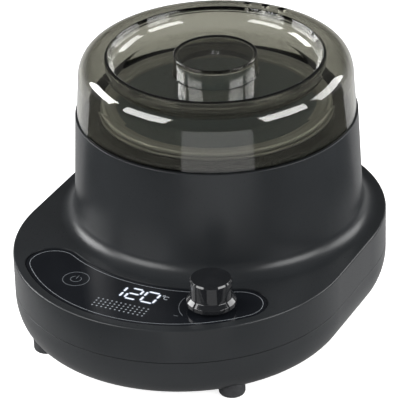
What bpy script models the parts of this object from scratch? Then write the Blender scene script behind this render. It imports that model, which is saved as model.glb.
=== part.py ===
# Wax warmer with a lift-off smoked lid, a lift-out pot and a control panel with one rotary knob.
# Metres, +Z up. The origin lies on the table, in the middle of the base.
# The base is an obround: the drum stands on its rear round end (+Y), the panel on its front one (-Y).

import math

import bmesh
import bpy

# Fits between neighbouring pieces
seat_gap = 0.0003
screw_clearance = 0.0002
cut_overrun = 0.0010
merge_distance = 0.00001
weld_distance = 0.000001

# Base case
base_radius = 0.0885
base_span = 0.0434
case_wall = 0.0025
deck_thickness = 0.0030
deck_height = 0.0463
deck_edge_round = 0.0010
upper_case_height = 0.0192
seam_chamfer = 0.0003
underside_height = 0.0050
corner_width = 0.0107
corner_to_seam = 0.0039
lip_height = 0.0030
lip_wall = 0.0016
lip_clearance = 0.0004

# Drum
drum_rim_height = 0.1040
drum_margin = 0.0123
drum_taper = 0.0023
drum_fillet = 0.0083
drum_rim_round = 0.0004
fillet_sink = 0.00005
shelf_width = 0.0066
shelf_thickness = 0.0022
shelf_depth = 0.0065

# Feet
foot_radius = 0.0068
foot_round = 0.0016
foot_inset = 0.0116
foot_side_share = 0.6905
foot_socket_height = 0.0093
foot_boss_wall = 0.0018
foot_boss_roof = 0.0030
foot_stem_radius = 0.0024
foot_head_radius = 0.0034
foot_head_height = 0.0022

# Lid
lid_reveal = 0.0009
lid_wall = 0.0024
lid_height = 0.0319
lid_rim_straight = 0.0006
lid_shoulder_height = 0.0180
lid_shoulder_inset = 0.0012
lid_crest_inset = 0.0120
lid_crest_width = 0.0046
lid_shoulder_share = 2.37
lid_bowl_edge_round = 0.0008
lid_bowl_round = 0.0070
lid_bowl_draft = 0.0003
lid_inner_round = 0.0005
lid_floor_height = 0.0210
lid_knob_radius = 0.0213
lid_knob_height = 0.0103
lid_knob_draft = 0.0004
lid_knob_edge = 0.0004
vent_radius = 0.0021
vent_offset = 0.0005
vent_pitch = 0.0100

# Pot and the cup that heats it
pot_margin = 0.0075
pot_wall = 0.0015
pot_depth = 0.0680
pot_corner = 0.0080
pot_rim_rise = 0.0047
pot_flange_width = 0.0080
pot_bead = 0.0008
well_clearance = 0.0008
well_wall = 0.0015
well_corner = 0.0086
well_flange_spread = 0.0012
well_flange_thickness = 0.0012

# Ring that closes the top of the drum
ring_clearance = 0.0004
ring_flange_thickness = 0.0025
ring_collar_wall = 0.0030
ring_lip_wall = 0.0025
ring_lip_height = 0.0020
lid_clearance = 0.0006
ring_boss_radius = 0.0023

# Heater and what holds its heat
band_thickness = 0.0016
band_rise = 0.0086
band_headroom = 0.0197
band_slot = 0.0040
band_lug_width = 0.0140
band_lug_reach = 0.0080
band_lug_height = 0.0120
sleeve_thickness = 0.0040
sleeve_rise = 0.0046
sleeve_headroom = 0.0157
sleeve_slot = 0.0170
sensor_radius = 0.0030
sensor_length = 0.0140
sensor_side = 0.0180
clip_thickness = 0.0006
clip_width = 0.0080
clip_ear = 0.0060
cutout_cap_radius = 0.0080
cutout_cap_height = 0.0030
cutout_body_radius = 0.0068
cutout_body_height = 0.0085
cutout_side = 0.0180
cutout_tab_width = 0.0048
cutout_tab_height = 0.0060
cutout_tab_thickness = 0.0008
cutout_tab_side = 0.0040

# Control panel lens, a kidney between the drum's fillet and the front edge
panel_front_margin = 0.0051
panel_rear_margin = 0.0040
panel_end_radius = 0.0142
panel_sink = 0.00065
panel_thickness = 0.0016
panel_clearance = 0.0003
panel_edge_chamfer = 0.0003
panel_ledge = 0.0031
pad_margin = 0.0040
pad_depth = 0.0050

# Places on the panel, on a circle round the drum
mark_inset = 0.0161
knob_angle = math.radians(23.3)
power_angle = math.radians(19.05)

# Control knob and its encoder
knob_lift = 0.0017
knob_height = 0.0147
knob_radius = 0.01065
knob_skirt_radius = 0.0126
knob_skirt_height = 0.0025
knob_flare_height = 0.0022
knob_edge = 0.0006
knob_edge_height = 0.0010
knob_wall = 0.0016
knob_roof = 0.0030
knob_hub_radius = 0.0046
shaft_radius = 0.0030
shaft_bore_clearance = 0.0001
shaft_flat_share = 0.5
shaft_flat_length = 0.0070
bushing_radius = 0.0035
bushing_drop = 0.0003
bushing_hole_clearance = 0.0003
encoder_side = 0.0120
encoder_height = 0.0065
plunger_radius = 0.0026
plunger_height = 0.0014
plunger_floor = 0.0005
press_travel = 0.0005
press_room = 0.0003

# Boards and what they carry
board_thickness = 0.0016
board_margin = 0.0016
board_screw_inset = 0.0006
board_boss_radius = 0.0024
board_screw_angles = (math.radians(-38.0), math.radians(38.0))
board_screw_back_angle = 0.0
display_depth = 0.0080
display_width = 0.0320
display_length = 0.0170
display_x = 0.0069
display_inset = 0.0042
dots_length = 0.0094
dots_x = -0.0005
touch_spring_radius = 0.0036
touch_wire_radius = 0.00035
touch_turns = 5
buzzer_radius = 0.0055
buzzer_height = 0.0065
buzzer_angle = math.radians(28.5)
buzzer_hole_radius = 0.0010
buzzer_hole_depth = 0.0020
power_board_width = 0.0760
power_board_length = 0.0440
power_board_inset = 0.0482
power_board_height = 0.0140
power_screw_inset = 0.0040
standoff_radius = 0.0028
supply_width = 0.0300
supply_length = 0.0240
supply_headroom = 0.00325
supply_x = -0.0190
supply_shift = -0.0040
supply_round = 0.0010
relay_width = 0.0190
relay_length = 0.0155
relay_headroom = 0.00305
relay_x = 0.0130
relay_shift = 0.0100
relay_round = 0.0006
capacitor_radius = 0.0050
capacitor_headroom = 0.00475
capacitor_x = 0.0110
capacitor_shift = -0.0100
capacitor_crimp = 0.0006
terminal_width = 0.0100
terminal_length = 0.0200
terminal_headroom = 0.00725
terminal_x = 0.0300
terminal_hole_radius = 0.0018
terminal_floor = 0.0020
fuse_radius = 0.0026
fuse_length = 0.0200
fuse_cap_length = 0.0055
fuse_neck = 0.0003
fuse_x = -0.0190
fuse_shift = 0.0160

# Mains inlet in the back wall
inlet_drop = 0.0103
inlet_flange_width = 0.0240
inlet_flange_height = 0.0130
inlet_flange_thickness = 0.0014
inlet_face_inset = 0.0010
inlet_body_width = 0.0200
inlet_body_height = 0.0100
inlet_body_depth = 0.0165
inlet_mouth_radius = 0.0040
inlet_pin_spread = 0.0043
inlet_mouth_depth = 0.0120
inlet_pin_radius = 0.0012
inlet_pin_length = 0.0095
inlet_tail_length = 0.0040
inlet_pad_wall = 0.0035
inlet_pad_margin = 0.0040
inlet_pad_lift = 0.0006
lip_notch_depth = 0.0004

# Screws
screw_radius = 0.0014
screw_head_radius = 0.0029
screw_head_height = 0.0019
case_screw_length = 0.0200
case_screw_seat = 0.0120
counterbore_radius = 0.0036
tower_radius = 0.0046
boss_radius = 0.0040
boss_drop = 0.0021
boss_gap = 0.0004
boss_bore_spare = 0.0060
case_screw_front_inset = 0.0147
case_screw_front_angle = math.radians(71.6)
case_screw_back_inset = 0.0109
case_screw_back_angle = math.radians(127.6)
ring_screw_length = 0.0065
board_screw_length = 0.0055

# Air slots in the underside
slot_width = 0.0024
slot_length = 0.0300
slot_pitch = 0.0060
slot_count = 7
slot_y = 0.0120

# Facets round a full turn
round_steps = 36
end_steps = 18
small_steps = 16
screw_steps = 8

# Sizes and places that follow from the ones above
drum_y = base_span / 2
front_y = -base_span / 2
seam_height = deck_height - upper_case_height
corner_height = seam_height - corner_to_seam - underside_height
drum_foot_radius = base_radius - drum_margin
drum_rim_radius = drum_foot_radius - drum_taper
lid_radius = drum_rim_radius - lid_reveal
lid_low = drum_rim_height + seat_gap
lid_top = lid_low + lid_height
lid_floor = lid_low + lid_floor_height
lid_knob_top = lid_floor + lid_knob_height
lid_shoulder_radius = lid_radius - lid_shoulder_inset
lid_crest_radius = lid_radius - lid_crest_inset
lid_bowl_radius = lid_crest_radius - lid_crest_width - lid_bowl_edge_round
lid_floor_radius = lid_bowl_radius - lid_bowl_draft - lid_bowl_round
vent_circle_radius = lid_crest_radius + vent_offset
ring_lip_radius = lid_radius - lid_wall - lid_clearance
pot_flange_radius = ring_lip_radius - ring_lip_wall - pot_margin
pot_radius = pot_flange_radius - pot_flange_width
pot_top = drum_rim_height + pot_rim_rise
pot_flange_low = pot_top - pot_wall
pot_floor = pot_top - pot_depth
pot_outer_radius = pot_radius + pot_wall
well_radius = pot_outer_radius + well_clearance
well_outer_radius = well_radius + well_wall
well_flange_radius = pot_flange_radius + well_flange_spread
well_top = pot_flange_low - seat_gap
well_flange_low = well_top - well_flange_thickness
well_floor = pot_floor - pot_wall - seat_gap
well_low = well_floor - well_wall
band_low = well_low + band_rise
band_top = well_flange_low - band_headroom
band_height = band_top - band_low
sleeve_low = well_low + sleeve_rise
sleeve_top = well_flange_low - sleeve_headroom
sleeve_height = sleeve_top - sleeve_low
shelf_top = drum_rim_height - shelf_depth
ring_low = shelf_top + seat_gap
ring_flange_top = ring_low + ring_flange_thickness
ring_collar_radius = well_flange_radius + seat_gap
ring_collar_top = well_flange_low - seat_gap
ring_lip_top = drum_rim_height + ring_lip_height
ring_screw_circle = ring_lip_radius - ring_lip_wall / 2
panel_top = deck_height - panel_sink
panel_low = panel_top - panel_thickness
panel_inner_arc = drum_foot_radius + drum_fillet + panel_rear_margin
panel_outer_arc = base_radius - panel_front_margin
mark_circle_radius = panel_inner_arc + mark_inset
display_y = mark_circle_radius - display_inset
board_top = panel_low - seat_gap - display_depth
board_low = board_top - board_thickness
knob_x = mark_circle_radius * math.sin(knob_angle)
knob_y = drum_y - mark_circle_radius * math.cos(knob_angle)
power_x = -mark_circle_radius * math.sin(power_angle)
power_y = drum_y - mark_circle_radius * math.cos(power_angle)
knob_low = deck_height + knob_lift
knob_top = knob_low + knob_height
bushing_top = panel_top - bushing_drop
plunger_low = board_top + seat_gap + plunger_floor + press_travel + press_room
plunger_top = plunger_low + plunger_height
shaft_low = plunger_top + seat_gap
hub_bore_top = knob_top - knob_roof
shaft_top = hub_bore_top - seat_gap
foot_reach = base_radius - foot_inset
foot_x = foot_reach * foot_side_share
foot_y = base_span / 2 + foot_reach * math.sqrt(1 - foot_side_share**2)
inlet_face = drum_y + base_radius - inlet_face_inset
inlet_height = deck_height - inlet_drop
inlet_pad_low = seam_height + inlet_pad_lift
boss_low = seam_height - boss_drop
tower_height = boss_low - boss_gap
boss_bore_top = case_screw_seat + case_screw_length + boss_bore_spare
power_board_y = front_y - base_radius + power_board_inset
power_board_top = power_board_height + board_thickness
parts_low = power_board_top + seat_gap
parts_room = board_low - parts_low
supply_height = parts_room - supply_headroom
relay_height = parts_room - relay_headroom
capacitor_height = parts_room - capacitor_headroom
terminal_height = parts_room - terminal_headroom
terminal_hole_depth = terminal_height - terminal_floor
fuse_y = power_board_y + fuse_shift


# Scene, collections and materials

for old in list(bpy.data.objects):
    bpy.data.objects.remove(old, do_unlink=True)

part_group = bpy.data.collections.new("wax_warmer")
cutter_group = bpy.data.collections.new("cutters")
bpy.context.scene.collection.children.link(part_group)
bpy.context.scene.collection.children.link(cutter_group)
cutter_group.hide_render = True


def make_material(name, colour, roughness, metallic=0.0, alpha=1.0):
    material = bpy.data.materials.new(name)
    material.use_nodes = True
    shader = material.node_tree.nodes["Principled BSDF"]
    shader.inputs["Base Color"].default_value = (*colour, 1.0)
    shader.inputs["Roughness"].default_value = roughness
    shader.inputs["Metallic"].default_value = metallic
    shader.inputs["Alpha"].default_value = alpha
    material.diffuse_color = (*colour, alpha)
    return material


case_plastic = make_material("case_plastic", (0.045, 0.047, 0.050), 0.55)
smoked_clear = make_material("smoked_clear", (0.20, 0.20, 0.13), 0.05, alpha=0.45)
gloss_black = make_material("gloss_black", (0.012, 0.013, 0.015), 0.12)
heat_plastic = make_material("heat_plastic", (0.02, 0.02, 0.02), 0.50)
bare_aluminium = make_material("bare_aluminium", (0.62, 0.62, 0.60), 0.35, 1.0)
plated_steel = make_material("plated_steel", (0.55, 0.55, 0.55), 0.30, 1.0)
soft_rubber = make_material("soft_rubber", (0.035, 0.035, 0.037), 0.75)
mica_sheet = make_material("mica_sheet", (0.50, 0.46, 0.38), 0.60)
glass_fibre = make_material("glass_fibre", (0.80, 0.78, 0.72), 0.90)
board_laminate = make_material("board_laminate", (0.03, 0.16, 0.07), 0.45)
white_plastic = make_material("white_plastic", (0.70, 0.70, 0.70), 0.40)
relay_plastic = make_material("relay_plastic", (0.03, 0.12, 0.40), 0.40)
terminal_plastic = make_material("terminal_plastic", (0.05, 0.30, 0.12), 0.45)


# Shared ways of making a piece


def add_object(name, mesh, material, centre=(0.0, 0.0), angle=math.radians(40)):
    item = bpy.data.objects.new(name, mesh)
    item.location = (centre[0], centre[1], 0.0)
    if material is None:
        cutter_group.objects.link(item)
        item.hide_render = True
        item.display_type = "WIRE"
    else:
        part_group.objects.link(item)
        mesh.materials.append(material)
        mesh.shade_smooth()
        mesh.set_sharp_from_angle(angle=angle)
    return item


def turned(name, profile, material=None, centre=(0.0, 0.0), steps=round_steps, closed=False):
    # The profile is a list of (radius, height), from the axis out and down the outer side.
    mesh = bpy.data.meshes.new(name)
    points = [(radius, 0.0, height) for radius, height in profile]
    edges = [(i, i + 1) for i in range(len(points) - 1)]
    if closed:
        edges.append((len(points) - 1, 0))
    mesh.from_pydata(points, edges, [])
    item = add_object(name, mesh, material, centre)
    screw = item.modifiers.new("turn", "SCREW")
    screw.axis = "Z"
    screw.steps = steps
    screw.render_steps = steps
    screw.use_merge_vertices = True
    screw.merge_threshold = merge_distance
    screw.use_smooth_shade = True
    return item


def lofted(name, rings, material=None, centre=(0.0, 0.0)):
    # Rings of equal count, from the lowest to the highest, joined side to side and capped.
    frame = bmesh.new()
    loops = [[frame.verts.new(point) for point in ring] for ring in rings]
    count = len(loops[0])
    for low, high in zip(loops, loops[1:]):
        for i in range(count):
            j = (i + 1) % count
            frame.faces.new((low[i], low[j], high[j], high[i]))
    frame.faces.new(list(reversed(loops[0])))
    frame.faces.new(loops[-1])
    bmesh.ops.recalc_face_normals(frame, faces=frame.faces)
    mesh = bpy.data.meshes.new(name)
    frame.to_mesh(mesh)
    frame.free()
    return add_object(name, mesh, material, centre)


def block(name, size, middle, material=None, edge=0.0):
    frame = bmesh.new()
    bmesh.ops.create_cube(frame, size=1.0)
    bmesh.ops.scale(frame, vec=size, verts=frame.verts)
    bmesh.ops.translate(frame, vec=(0.0, 0.0, middle[2]), verts=frame.verts)
    mesh = bpy.data.meshes.new(name)
    frame.to_mesh(mesh)
    frame.free()
    item = add_object(name, mesh, material, middle)
    if edge:
        bevel = item.modifiers.new("edge", "BEVEL")
        bevel.width = edge
        bevel.segments = 1
    return item


def rod(name, radius, low, high, centre=(0.0, 0.0), material=None, steps=small_steps):
    profile = [(0.0, high), (radius, high), (radius, low), (0.0, low)]
    return turned(name, profile, material, centre, steps)


def lying_rod(name, radius, start, length, material=None, steps=small_steps, along="X"):
    frame = bmesh.new()
    bmesh.ops.create_cone(
        frame, cap_ends=True, segments=steps, radius1=radius, radius2=radius, depth=length
    )
    mesh = bpy.data.meshes.new(name)
    frame.to_mesh(mesh)
    frame.free()
    item = add_object(name, mesh, material)
    quarter = math.pi / 2
    if along == "X":
        item.rotation_euler = (0.0, quarter, 0.0)
        item.location = (start[0] + length / 2, start[1], start[2])
    else:
        item.rotation_euler = (quarter, 0.0, 0.0)
        item.location = (start[0], start[1] + length / 2, start[2])
    return item


def mesh_of(item):
    # A curve becomes a mesh with its caps welded, so that it can be cut.
    bpy.context.view_layer.update()
    graph = bpy.context.evaluated_depsgraph_get()
    mesh = bpy.data.meshes.new_from_object(item.evaluated_get(graph))
    frame = bmesh.new()
    frame.from_mesh(mesh)
    bmesh.ops.remove_doubles(frame, verts=frame.verts, dist=weld_distance)
    bmesh.ops.recalc_face_normals(frame, faces=frame.faces)
    frame.to_mesh(mesh)
    frame.free()
    name = item.name
    place = item.matrix_world.copy()
    material = mesh.materials[0] if len(mesh.materials) else None
    mesh.materials.clear()
    bpy.data.objects.remove(item, do_unlink=True)
    solid = add_object(name, mesh, material)
    solid.matrix_world = place
    return solid


def plate(name, outline, low, high, material=None):
    # A flat outline, filled and extruded by half its thickness each way.
    curve = bpy.data.curves.new(name, "CURVE")
    curve.dimensions = "2D"
    curve.fill_mode = "BOTH"
    curve.extrude = (high - low) / 2
    spline = curve.splines.new("POLY")
    spline.points.add(len(outline) - 1)
    for point, (x, y) in zip(spline.points, outline):
        point.co = (x, y, 0.0, 1.0)
    spline.use_cyclic_u = True
    item = bpy.data.objects.new(name, curve)
    item.location = (0.0, 0.0, (high + low) / 2)
    (cutter_group if material is None else part_group).objects.link(item)
    if material is not None:
        curve.materials.append(material)
    return mesh_of(item)


def change(item, other, operation):
    step = item.modifiers.new(other.name[:40], "BOOLEAN")
    step.operation = operation
    step.object = other
    return item


def cut(item, *others):
    for other in others:
        change(item, other, "DIFFERENCE")


def join(item, *others):
    for other in others:
        change(item, other, "UNION")


def arc(centre, radii, start, end, steps):
    # Points of a round or elliptical arc between two angles in degrees.
    points = []
    for i in range(steps + 1):
        turn = math.radians(start + (end - start) * i / steps)
        x = centre[0] + radii[0] * math.cos(turn)
        y = centre[1] + radii[1] * math.sin(turn)
        points.append((x, y))
    return points


def obround(radius, height):
    rear = arc((0.0, drum_y), (radius, radius), 0.0, 180.0, end_steps)
    front = arc((0.0, front_y), (radius, radius), 180.0, 360.0, end_steps)
    return [(x, y, height) for x, y in rear + front]


def round_point(centre_y, radius, turn):
    # A place on a circle about one of the base's two centres, turned from the front.
    return (radius * math.sin(turn), centre_y - radius * math.cos(turn))


def kidney(grow):
    # Panel outline: an arc round the drum, one round the front end, and two round ends between them.
    inner = panel_inner_arc - grow
    outer = panel_outer_arc + grow
    end = panel_end_radius + grow
    near = inner + end
    far = outer - end
    end_y = -(near**2 - far**2 + base_span**2) / (2 * base_span)
    end_x = math.sqrt(near**2 - end_y**2)
    drum_turn = math.degrees(math.atan2(end_x, -end_y))
    front_turn = math.degrees(math.atan2(end_x, -(end_y + base_span)))
    drum = (0.0, drum_y)
    front = (0.0, front_y)
    right = (end_x, drum_y + end_y)
    left = (-end_x, drum_y + end_y)
    points = arc(drum, (inner, inner), -90.0 - drum_turn, -90.0 + drum_turn, 14)
    points += arc(right, (end, end), 90.0 + drum_turn, front_turn - 90.0, 8)[1:]
    points += arc(front, (outer, outer), front_turn - 90.0, -front_turn - 90.0, 18)[1:]
    points += arc(left, (end, end), -90.0 - front_turn, -270.0 - drum_turn, 8)[1:-1]
    return points


def kidney_ring(grow, height):
    return [(x, y, height) for x, y in kidney(grow)]


def screw(name, place, seat, length, material=plated_steel):
    # Pan head under the seat, threaded end pointing up.
    head_top = seat - seat_gap
    head_low = head_top - screw_head_height
    crown = screw_head_height / 2
    profile = [
        (0.0, head_top + length),
        (screw_radius / 2, head_top + length),
        (screw_radius, head_top + length - screw_radius),
        (screw_radius, head_top),
        (screw_head_radius, head_top),
        (screw_head_radius, head_low + crown),
        (screw_head_radius - crown, head_low),
        (0.0, head_low),
    ]
    return turned(name, profile, material, place, screw_steps)


# Lower case: dished underside, foot sockets, screw towers, board posts and air slots

corner = [
    (base_radius - corner_width + x, z)
    for x, z in arc((0.0, underside_height + corner_height), (corner_width, corner_height), -90, 0, 6)
]
lip_radius = base_radius - case_wall - lip_clearance
seam_low = seam_height - seat_gap / 2
lower_rings = [obround(radius, height) for radius, height in corner]
lower_rings += [
    obround(base_radius, seam_low - seam_chamfer),
    obround(base_radius - seam_chamfer, seam_low),
    obround(lip_radius, seam_low),
    obround(lip_radius, seam_low + lip_height),
]
lower_shell = lofted("lower_shell", lower_rings, case_plastic)

inside_floor = underside_height + case_wall
inside_radius = base_radius - case_wall
lip_inside = lip_radius - lip_wall
inner_corner = [
    (inside_radius - corner_width + x, z)
    for x, z in arc((0.0, inside_floor + corner_height), (corner_width, corner_height), -90, -15, 4)
]
neck = seam_low - lip_height
lower_room_rings = [obround(min(radius, lip_inside), height) for radius, height in inner_corner]
lower_room_rings += [obround(lip_inside, neck), obround(lip_inside, seam_low + lip_height + cut_overrun)]
lower_room = lofted("lower_room", lower_room_rings)

foot_places = {
    "foot_front_left": (-foot_x, -foot_y),
    "foot_front_right": (foot_x, -foot_y),
    "foot_rear_left": (-foot_x, foot_y),
    "foot_rear_right": (foot_x, foot_y),
}
case_screw_front_reach = base_radius - case_screw_front_inset
case_screw_back_reach = base_radius - case_screw_back_inset
case_screw_places = {
    "case_screw_front_left": round_point(front_y, case_screw_front_reach, -case_screw_front_angle),
    "case_screw_front_right": round_point(front_y, case_screw_front_reach, case_screw_front_angle),
    "case_screw_rear_left": round_point(drum_y, case_screw_back_reach, -case_screw_back_angle),
    "case_screw_rear_right": round_point(drum_y, case_screw_back_reach, case_screw_back_angle),
}
power_screw_x = power_board_width / 2 - power_screw_inset
power_screw_y = power_board_length / 2 - power_screw_inset
power_screw_places = {
    "power_board_screw_left": (-power_screw_x, power_board_y + power_screw_y),
    "power_board_screw_right": (power_screw_x, power_board_y - power_screw_y),
}
socket_radius = foot_radius + seat_gap
boss_top = foot_socket_height + foot_boss_roof
for name, place in foot_places.items():
    column = rod(name + "_boss", socket_radius + foot_boss_wall, 0.0, boss_top, place)
    cut(lower_room, column)
for name, place in case_screw_places.items():
    cut(lower_room, rod(name + "_tower", tower_radius, 0.0, tower_height, place))
standoff_top = power_board_height - seat_gap
for name, place in power_screw_places.items():
    cut(lower_room, rod(name + "_post", standoff_radius, 0.0, standoff_top, place, steps=12))
cut(lower_shell, lower_room)
for name, place in foot_places.items():
    socket = rod(name + "_socket", socket_radius, -cut_overrun, foot_socket_height, place)
    stem_hole = foot_stem_radius + seat_gap
    bore = rod(name + "_bore", stem_hole, 0.0, boss_top + cut_overrun, place, steps=12)
    cut(lower_shell, socket, bore)
for name, place in case_screw_places.items():
    wide = rod(name + "_counterbore", counterbore_radius, 0.0, case_screw_seat, place)
    hole = screw_radius + screw_clearance
    bore = rod(name + "_hole", hole, 0.0, tower_height + cut_overrun, place, steps=12)
    cut(lower_shell, wide, bore)
for name, place in power_screw_places.items():
    hole = screw_radius + screw_clearance
    bore = rod(name + "_pilot", hole, inside_floor, standoff_top + cut_overrun, place, steps=12)
    cut(lower_shell, bore)
notch_low = seam_low - lip_notch_depth
notch_top = seam_low + lip_height + cut_overrun
notch_width = inlet_flange_width + 2 * inlet_pad_margin + 2 * lip_clearance
notch_reach = 2 * inlet_pad_wall + lip_wall
lip_notch = block(
    "lip_notch",
    (notch_width, notch_reach, notch_top - notch_low),
    (0.0, drum_y + lip_radius + lip_clearance - notch_reach / 2, (notch_top + notch_low) / 2),
)
cut(lower_shell, lip_notch)
slot_depth = case_wall + 2 * cut_overrun
for side in (-1, 1):
    for i in range(slot_count):
        x = (i - (slot_count - 1) / 2) * slot_pitch
        size = (slot_width, slot_length, slot_depth)
        y = side * (slot_y + slot_length / 2)
        slot = block(f"air_slot_{side}_{i}", size, (x, y, underside_height + case_wall / 2))
        cut(lower_shell, slot)


# Upper case: deck, drum and the fillet between them

seam_high = seam_height + seat_gap / 2
deck_edge = arc(
    (base_radius - deck_edge_round, deck_height - deck_edge_round),
    (deck_edge_round, deck_edge_round),
    0,
    90,
    3,
)
upper_rings = [
    obround(base_radius - seam_chamfer, seam_high),
    obround(base_radius, seam_high + seam_chamfer),
]
upper_rings += [obround(radius, height) for radius, height in deck_edge]
upper_shell = lofted("upper_shell", upper_rings, case_plastic)

fillet = arc(
    (drum_foot_radius + drum_fillet, deck_height + drum_fillet - fillet_sink),
    (drum_fillet, drum_fillet),
    180,
    270,
    5,
)
rim_edge = arc(
    (drum_rim_radius - drum_rim_round, drum_rim_height - drum_rim_round),
    (drum_rim_round, drum_rim_round),
    90,
    0,
    2,
)
drum_low = deck_height - deck_thickness / 2
drum_profile = [(0.0, drum_rim_height), *rim_edge, *fillet]
drum_profile += [(drum_foot_radius + drum_fillet, drum_low), (0.0, drum_low)]
drum = turned("drum_outside", drum_profile, None, (0.0, drum_y))
join(upper_shell, drum)

upper_room = lofted(
    "upper_room",
    [
        obround(inside_radius, seam_high - cut_overrun),
        obround(inside_radius, deck_height - deck_thickness),
    ],
)
pad = plate("panel_pad", kidney(pad_margin), deck_height - pad_depth, deck_height)
cut(upper_room, pad)
for name, place in case_screw_places.items():
    cut(upper_room, rod(name + "_boss", boss_radius, boss_low, deck_height, place))


board_screw_reach = panel_outer_arc - board_screw_inset
board_screw_places = {
    "panel_board_screw_left": round_point(front_y, board_screw_reach, board_screw_angles[0]),
    "panel_board_screw_right": round_point(front_y, board_screw_reach, board_screw_angles[1]),
    "panel_board_screw_back": round_point(
        drum_y, panel_inner_arc + board_screw_inset, board_screw_back_angle
    ),
}
for name, place in board_screw_places.items():
    peg = rod(name + "_boss", board_boss_radius, board_top + seat_gap, deck_height, place, steps=12)
    cut(upper_room, peg)
inlet_pad = block(
    "inlet_pad",
    (
        inlet_flange_width + 2 * inlet_pad_margin,
        inlet_pad_wall + 2 * case_wall,
        deck_height - inlet_pad_low,
    ),
    (0.0, drum_y + inside_radius - inlet_pad_wall / 2, (deck_height + inlet_pad_low) / 2),
)
cut(upper_room, inlet_pad)
cut(upper_shell, upper_room)

drum_inside_top = drum_rim_radius - case_wall
drum_draft = (drum_foot_radius - drum_rim_radius) / (drum_rim_height - deck_height)


def drum_inside(height):
    return drum_inside_top + drum_draft * (drum_rim_height - height)


shelf_radius = drum_inside_top - shelf_width
shelf_low = shelf_top - shelf_thickness
flare_start = deck_height + drum_fillet
flare_low = deck_height - deck_thickness
drum_room = turned(
    "drum_room",
    [
        (0.0, drum_rim_height + cut_overrun),
        (drum_inside_top, drum_rim_height + cut_overrun),
        (drum_inside(shelf_top), shelf_top),
        (shelf_radius, shelf_top),
        (shelf_radius, shelf_low),
        (drum_inside(shelf_low), shelf_low),
        (drum_inside(flare_start), flare_start),
        (drum_foot_radius + case_wall, flare_low - cut_overrun),
        (0.0, flare_low - cut_overrun),
    ],
    None,
    (0.0, drum_y),
)
cut(upper_shell, drum_room)

recess_edge = lofted(
    "recess_edge",
    [
        kidney_ring(panel_clearance - panel_edge_chamfer, deck_height - 2 * panel_edge_chamfer),
        kidney_ring(panel_clearance + panel_edge_chamfer, deck_height),
        kidney_ring(panel_clearance + panel_edge_chamfer, deck_height + cut_overrun),
    ],
)
pocket_low = panel_low - seat_gap
pocket = plate("panel_pocket", kidney(panel_clearance), pocket_low, deck_height + cut_overrun)
window_low = deck_height - pad_depth - cut_overrun
window = plate("panel_window", kidney(-panel_ledge), window_low, deck_height)
cut(upper_shell, recess_edge, pocket, window)

hole = screw_radius + screw_clearance
for name, place in case_screw_places.items():
    pilot = rod(name + "_pilot", hole, boss_low - cut_overrun, boss_bore_top, place, steps=12)
    cut(upper_shell, pilot)
for name, place in board_screw_places.items():
    bore_top = board_top + board_screw_length
    bore = rod(name + "_pilot", hole, board_top - cut_overrun, bore_top, place, steps=12)
    cut(upper_shell, bore)

inlet_pocket_depth = inlet_flange_thickness + seat_gap
inlet_cut_depth = inlet_face_inset + inlet_pocket_depth + cut_overrun
inlet_pocket = block(
    "inlet_pocket",
    (inlet_flange_width + 2 * seat_gap, inlet_cut_depth, inlet_flange_height + 2 * seat_gap),
    (0.0, inlet_face - inlet_pocket_depth + inlet_cut_depth / 2, inlet_height),
)
inlet_hole_depth = inlet_body_depth + cut_overrun
inlet_hole = block(
    "inlet_hole",
    (inlet_body_width + 2 * seat_gap, inlet_hole_depth, inlet_body_height + 2 * seat_gap),
    (0.0, inlet_face - inlet_hole_depth / 2, inlet_height),
)
cut(upper_shell, inlet_pocket, inlet_hole)

ring_screw_places = {}
for i in range(3):
    turn = math.radians(90 + 120 * i)
    x = ring_screw_circle * math.cos(turn)
    y = drum_y + ring_screw_circle * math.sin(turn)
    ring_screw_places[f"ring_screw_{i + 1}"] = (x, y)
for name, place in ring_screw_places.items():
    cut(
        upper_shell,
        rod(name + "_hole", hole, shelf_low - cut_overrun, ring_low, place, steps=12),
    )


# Ring that closes the drum, locates the lid and carries the heated cup

ring_flange_radius = drum_inside_top - ring_clearance
ring_profile = [
    (ring_lip_radius, ring_lip_top),
    (ring_lip_radius, ring_flange_top),
    (ring_flange_radius, ring_flange_top),
    (ring_flange_radius, ring_low),
    (ring_collar_radius - ring_collar_wall, ring_low),
    (ring_collar_radius - ring_collar_wall, ring_collar_top),
    (ring_collar_radius, ring_collar_top),
    (ring_collar_radius, ring_flange_top),
    (ring_lip_radius - ring_lip_wall, ring_flange_top),
    (ring_lip_radius - ring_lip_wall, ring_lip_top),
]
chamber_ring = turned("chamber_ring", ring_profile, heat_plastic, (0.0, drum_y), closed=True)
for name, place in ring_screw_places.items():
    lump = rod(
        name + "_ring_boss", ring_boss_radius, ring_low + ring_flange_thickness / 2,
        drum_rim_height, place, steps=12,
    )
    join(chamber_ring, lump)
for name, place in ring_screw_places.items():
    bore_top = shelf_low + ring_screw_length
    bore = rod(name + "_ring_pilot", hole, ring_low - cut_overrun, bore_top, place, steps=12)
    cut(chamber_ring, bore)


# Heated cup, pot, band heater and the parts that sense and limit the heat

well_profile = [(0.0, well_floor)]
well_profile += arc(
    (well_radius - well_corner, well_floor + well_corner), (well_corner, well_corner), -90, 0, 4
)
well_profile += [
    (well_radius, well_top),
    (well_flange_radius, well_top),
    (well_flange_radius, well_flange_low),
    (well_outer_radius, well_flange_low),
]
well_profile += arc(
    (well_radius - well_corner, well_floor + well_corner),
    (well_corner + well_wall, well_corner + well_wall),
    0,
    -90,
    4,
)
well_profile.append((0.0, well_low))
turned("heating_well", well_profile, bare_aluminium, (0.0, drum_y))

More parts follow.
